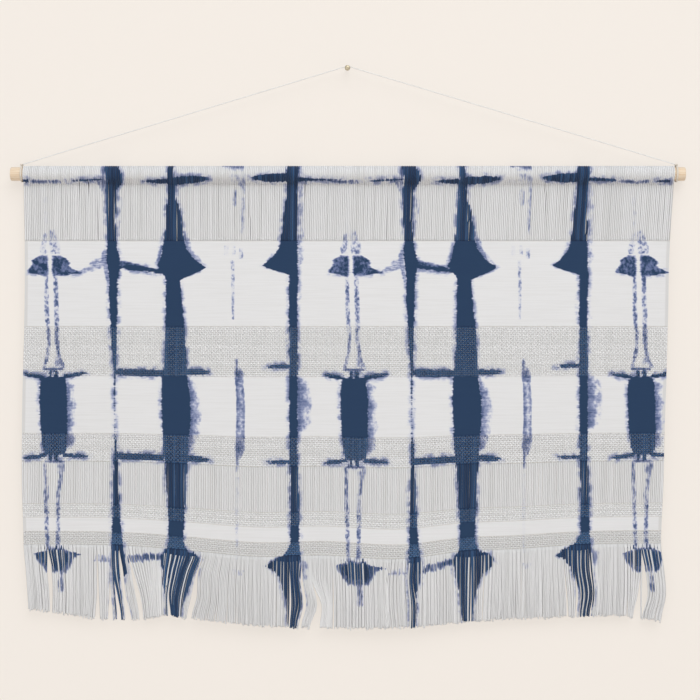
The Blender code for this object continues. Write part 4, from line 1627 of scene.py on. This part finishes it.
@dataclass
class HangingCord:
    """The cotton twine from tie to tie over the nail, of three plies, and its two ties."""

    radius: float = 0.75
    ply_radius: float = 0.4
    lay: float = 7.0
    turns_pitch: float = 1.5
    knot_reach: float = 1.5
    tie_clearance: float = 0.3
    tie_steps: int = 96
    knot_steps: int = 72
    cord_steps: int = 1200
    route: tuple[tuple[float, float], ...] = (
        (-399.6, 118.6),
        (-340.0, 100.2),
        (-280.0, 82.1),
        (-220.0, 64.0),
        (-160.0, 45.8),
        (-100.0, 27.7),
        (-50.0, 12.6),
        (-20.0, 3.5),
        (-8.0, -0.05),
        (-4.0, -1.25),
        (-2.0, -1.95),
        (0.0, -2.3),
        (2.0, -1.95),
        (4.0, -1.25),
        (8.0, -0.05),
        (20.0, 3.5),
        (50.0, 12.5),
        (100.0, 27.4),
        (160.0, 45.4),
        (220.0, 63.4),
        (280.0, 81.3),
        (340.0, 99.3),
        (403.3, 118.6),
    )

    def plied(self, name: str, line: Array, twist: bool = True) -> Piece:
        """Makes twine along a line.

        Args:
            name: the piece's name.
            line: closely spaced points in millimetres.
            twist: whether its three plies are separate yarns that wind round each other.

        Returns:
            The piece.
        """
        steps = len(line) - 1
        factors = next((a, steps // a) for a in range(min(100, steps), 0, -1) if steps % a == 0)
        plies = 3 if twist else 1
        yarns = spun(name, 6, factors, plies)
        ring = np.rint(yarns.along * steps).astype(int)
        way = np.gradient(line, axis=0)
        way /= np.linalg.norm(way, axis=1)[:, None]
        side = np.cross(way, (0.0, 1.0, 0.0))
        side = np.where(np.linalg.norm(side, axis=1)[:, None] < 0.2, np.cross(way, (1.0, 0.0, 0.0)), side)
        side /= np.linalg.norm(side, axis=1)[:, None]
        other = np.cross(way, side)
        length = lengths_along(line)
        turn = math.tau * (length[ring] / self.lay + yarns.number / plies)
        offset = self.radius - self.ply_radius if twist else 0.0
        out = side[ring] * np.cos(turn)[:, None] + other[ring] * np.sin(turn)[:, None]
        thick = self.ply_radius if twist else self.radius
        points = laid(yarns, line[ring] + out * offset, side[ring] * thick, other[ring] * thick)
        write_points(yarns.piece, points)
        return yarns.piece

    def tie(self, name: str, x: float) -> Piece:
        """Winds a tie: two turns round the rod, and a small knot on top.

        Args:
            name: the piece's name.
            x: its middle.

        Returns:
            The piece.
        """
        around = ROD_RADIUS + self.tie_clearance + self.radius
        turn = np.linspace(0.0, 2 * math.tau, self.tie_steps + 1)
        helix = np.stack(
            (
                x + (turn / (2 * math.tau) - 0.5) * self.turns_pitch,
                ROD_Y + around * np.sin(turn),
                -ROD_DROP + around * np.cos(turn),
            ),
            axis=1,
        )
        t = np.linspace(0.0, math.tau, self.knot_steps + 1)
        reach = self.knot_reach / 3
        knot = np.stack(
            (
                x + reach * (np.sin(t) + 2 * np.sin(2 * t)),
                ROD_Y + reach * (np.cos(t) - 2 * np.cos(2 * t)),
                -self.route[0][1] - 0.2 - reach * 1.2 * np.sin(3 * t),
            ),
            axis=1,
        )
        turns, bow = self.plied(name, helix, False), self.plied(name + "_knot", knot, False)
        deselect()
        bow.select_set(True)
        turns.select_set(True)
        bpy.context.view_layer.objects.active = turns
        bpy.ops.object.join()
        return turns

    def build(self) -> None:
        twine = CottonTwine().make()
        route = np.array([(x, ROD_Y, -drop) for x, drop in self.route])
        steps = lengths_along(route)
        fine = np.linspace(0.0, steps[-1], self.cord_steps + 1)
        line = np.stack([np.interp(fine, steps, route[:, i]) for i in range(3)], axis=1)
        soft = line.copy()
        soft[2:-2] = (line[:-4] + line[1:-3] + line[2:-2] + line[3:-1] + line[4:]) / 5
        cord = self.plied("hanging_twine", soft)
        wound = CottonTwine("wound_twine", (230, 222, 210), (208, 198, 184)).make()
        left = self.tie("left_tie", self.route[0][0])
        right = self.tie("right_tie", self.route[-1][0])
        seated(cord, ["hanging_cord"], twine)
        seated(left, ["cord_tie_left"], wound)
        seated(right, ["cord_tie_right"], wound)
        LOG.info("hanging cord: %.0f mm", steps[-1])


@dataclass
class Nail:
    """The nail with its domed head, in the wall."""

    shank: float = 1.25
    head: float = 3.4
    rim: float = 0.5
    dome: float = 1.9
    proud: float = 13.2
    in_wall: float = 16.0
    point: float = 3.5

    def build(self) -> None:
        """Turns the nail and dresses it."""
        profile = [(0.0, -self.in_wall), (self.shank, self.point - self.in_wall), (self.shank, self.proud)]
        profile += [(self.head - 0.2, self.proud), (self.head, self.proud + 0.15)]
        profile += [
            (self.head * math.cos(a), self.proud + self.rim + self.dome * math.sin(a))
            for a in np.linspace(0.0, math.pi / 2, 9)[:-1]
        ]
        profile.append((0.0, self.proud + self.rim + self.dome))
        nail = turned("domed_nail", 40, profile)
        points = points_of(nail.piece) / MM
        write_points(nail.piece, rows_of(points[:, 0], -points[:, 2], points[:, 1]))
        seated(nail.piece, ["wall_nail"], DullBrass().make())
        LOG.info("nail: %d points", len(points))


def declare_cloth(bands: list[tuple[PlainBand, Piece]]) -> None:
    """Works out each band's middle drop and its two edges there, and does nothing more with them.

    Args:
        bands: each band with its piece.
    """
    for band, piece in bands:
        middle = (band.top + band.bottom) / 2
        left, right = across(np.array((0.0, 1.0)), np.array((middle, middle)))


def main() -> None:
    """Builds the hanging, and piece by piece."""
    logging.basicConfig(level=logging.INFO, format="%(name)s: %(message)s")
    deselect()
    studio = Studio()
    studio.camera()
    HangingCord().build()
    studio.lights()
    studio.stage()
    Dowel().build()
    Nail().build()
    woven, meshed, strung = WOVEN.make(), MESHED.make(), STRUNG.make()
    yarns = [Loops().build(strung)]
    bands = [
        PlainBand("upper_plain_band", 212.3, 317.2),
        PlainBand("middle_plain_band", 377.9, 447.9),
        PlainBand("lower_plain_band", 551.4, 568.1),
    ]
    pieces = [(band, band.build(woven)) for band in bands]
    mesh = OpenBands()
    yarns += [mesh.wefts(name, meshed) for name in mesh.meshes]
    yarns.append(mesh.warps(strung))
    yarns.append(EdgeCords().build(SHADED_EDGING.make()))
    yarns += Fringe().build(strung)
    declare_cloth(pieces)


if __name__ == "__main__":
    main()
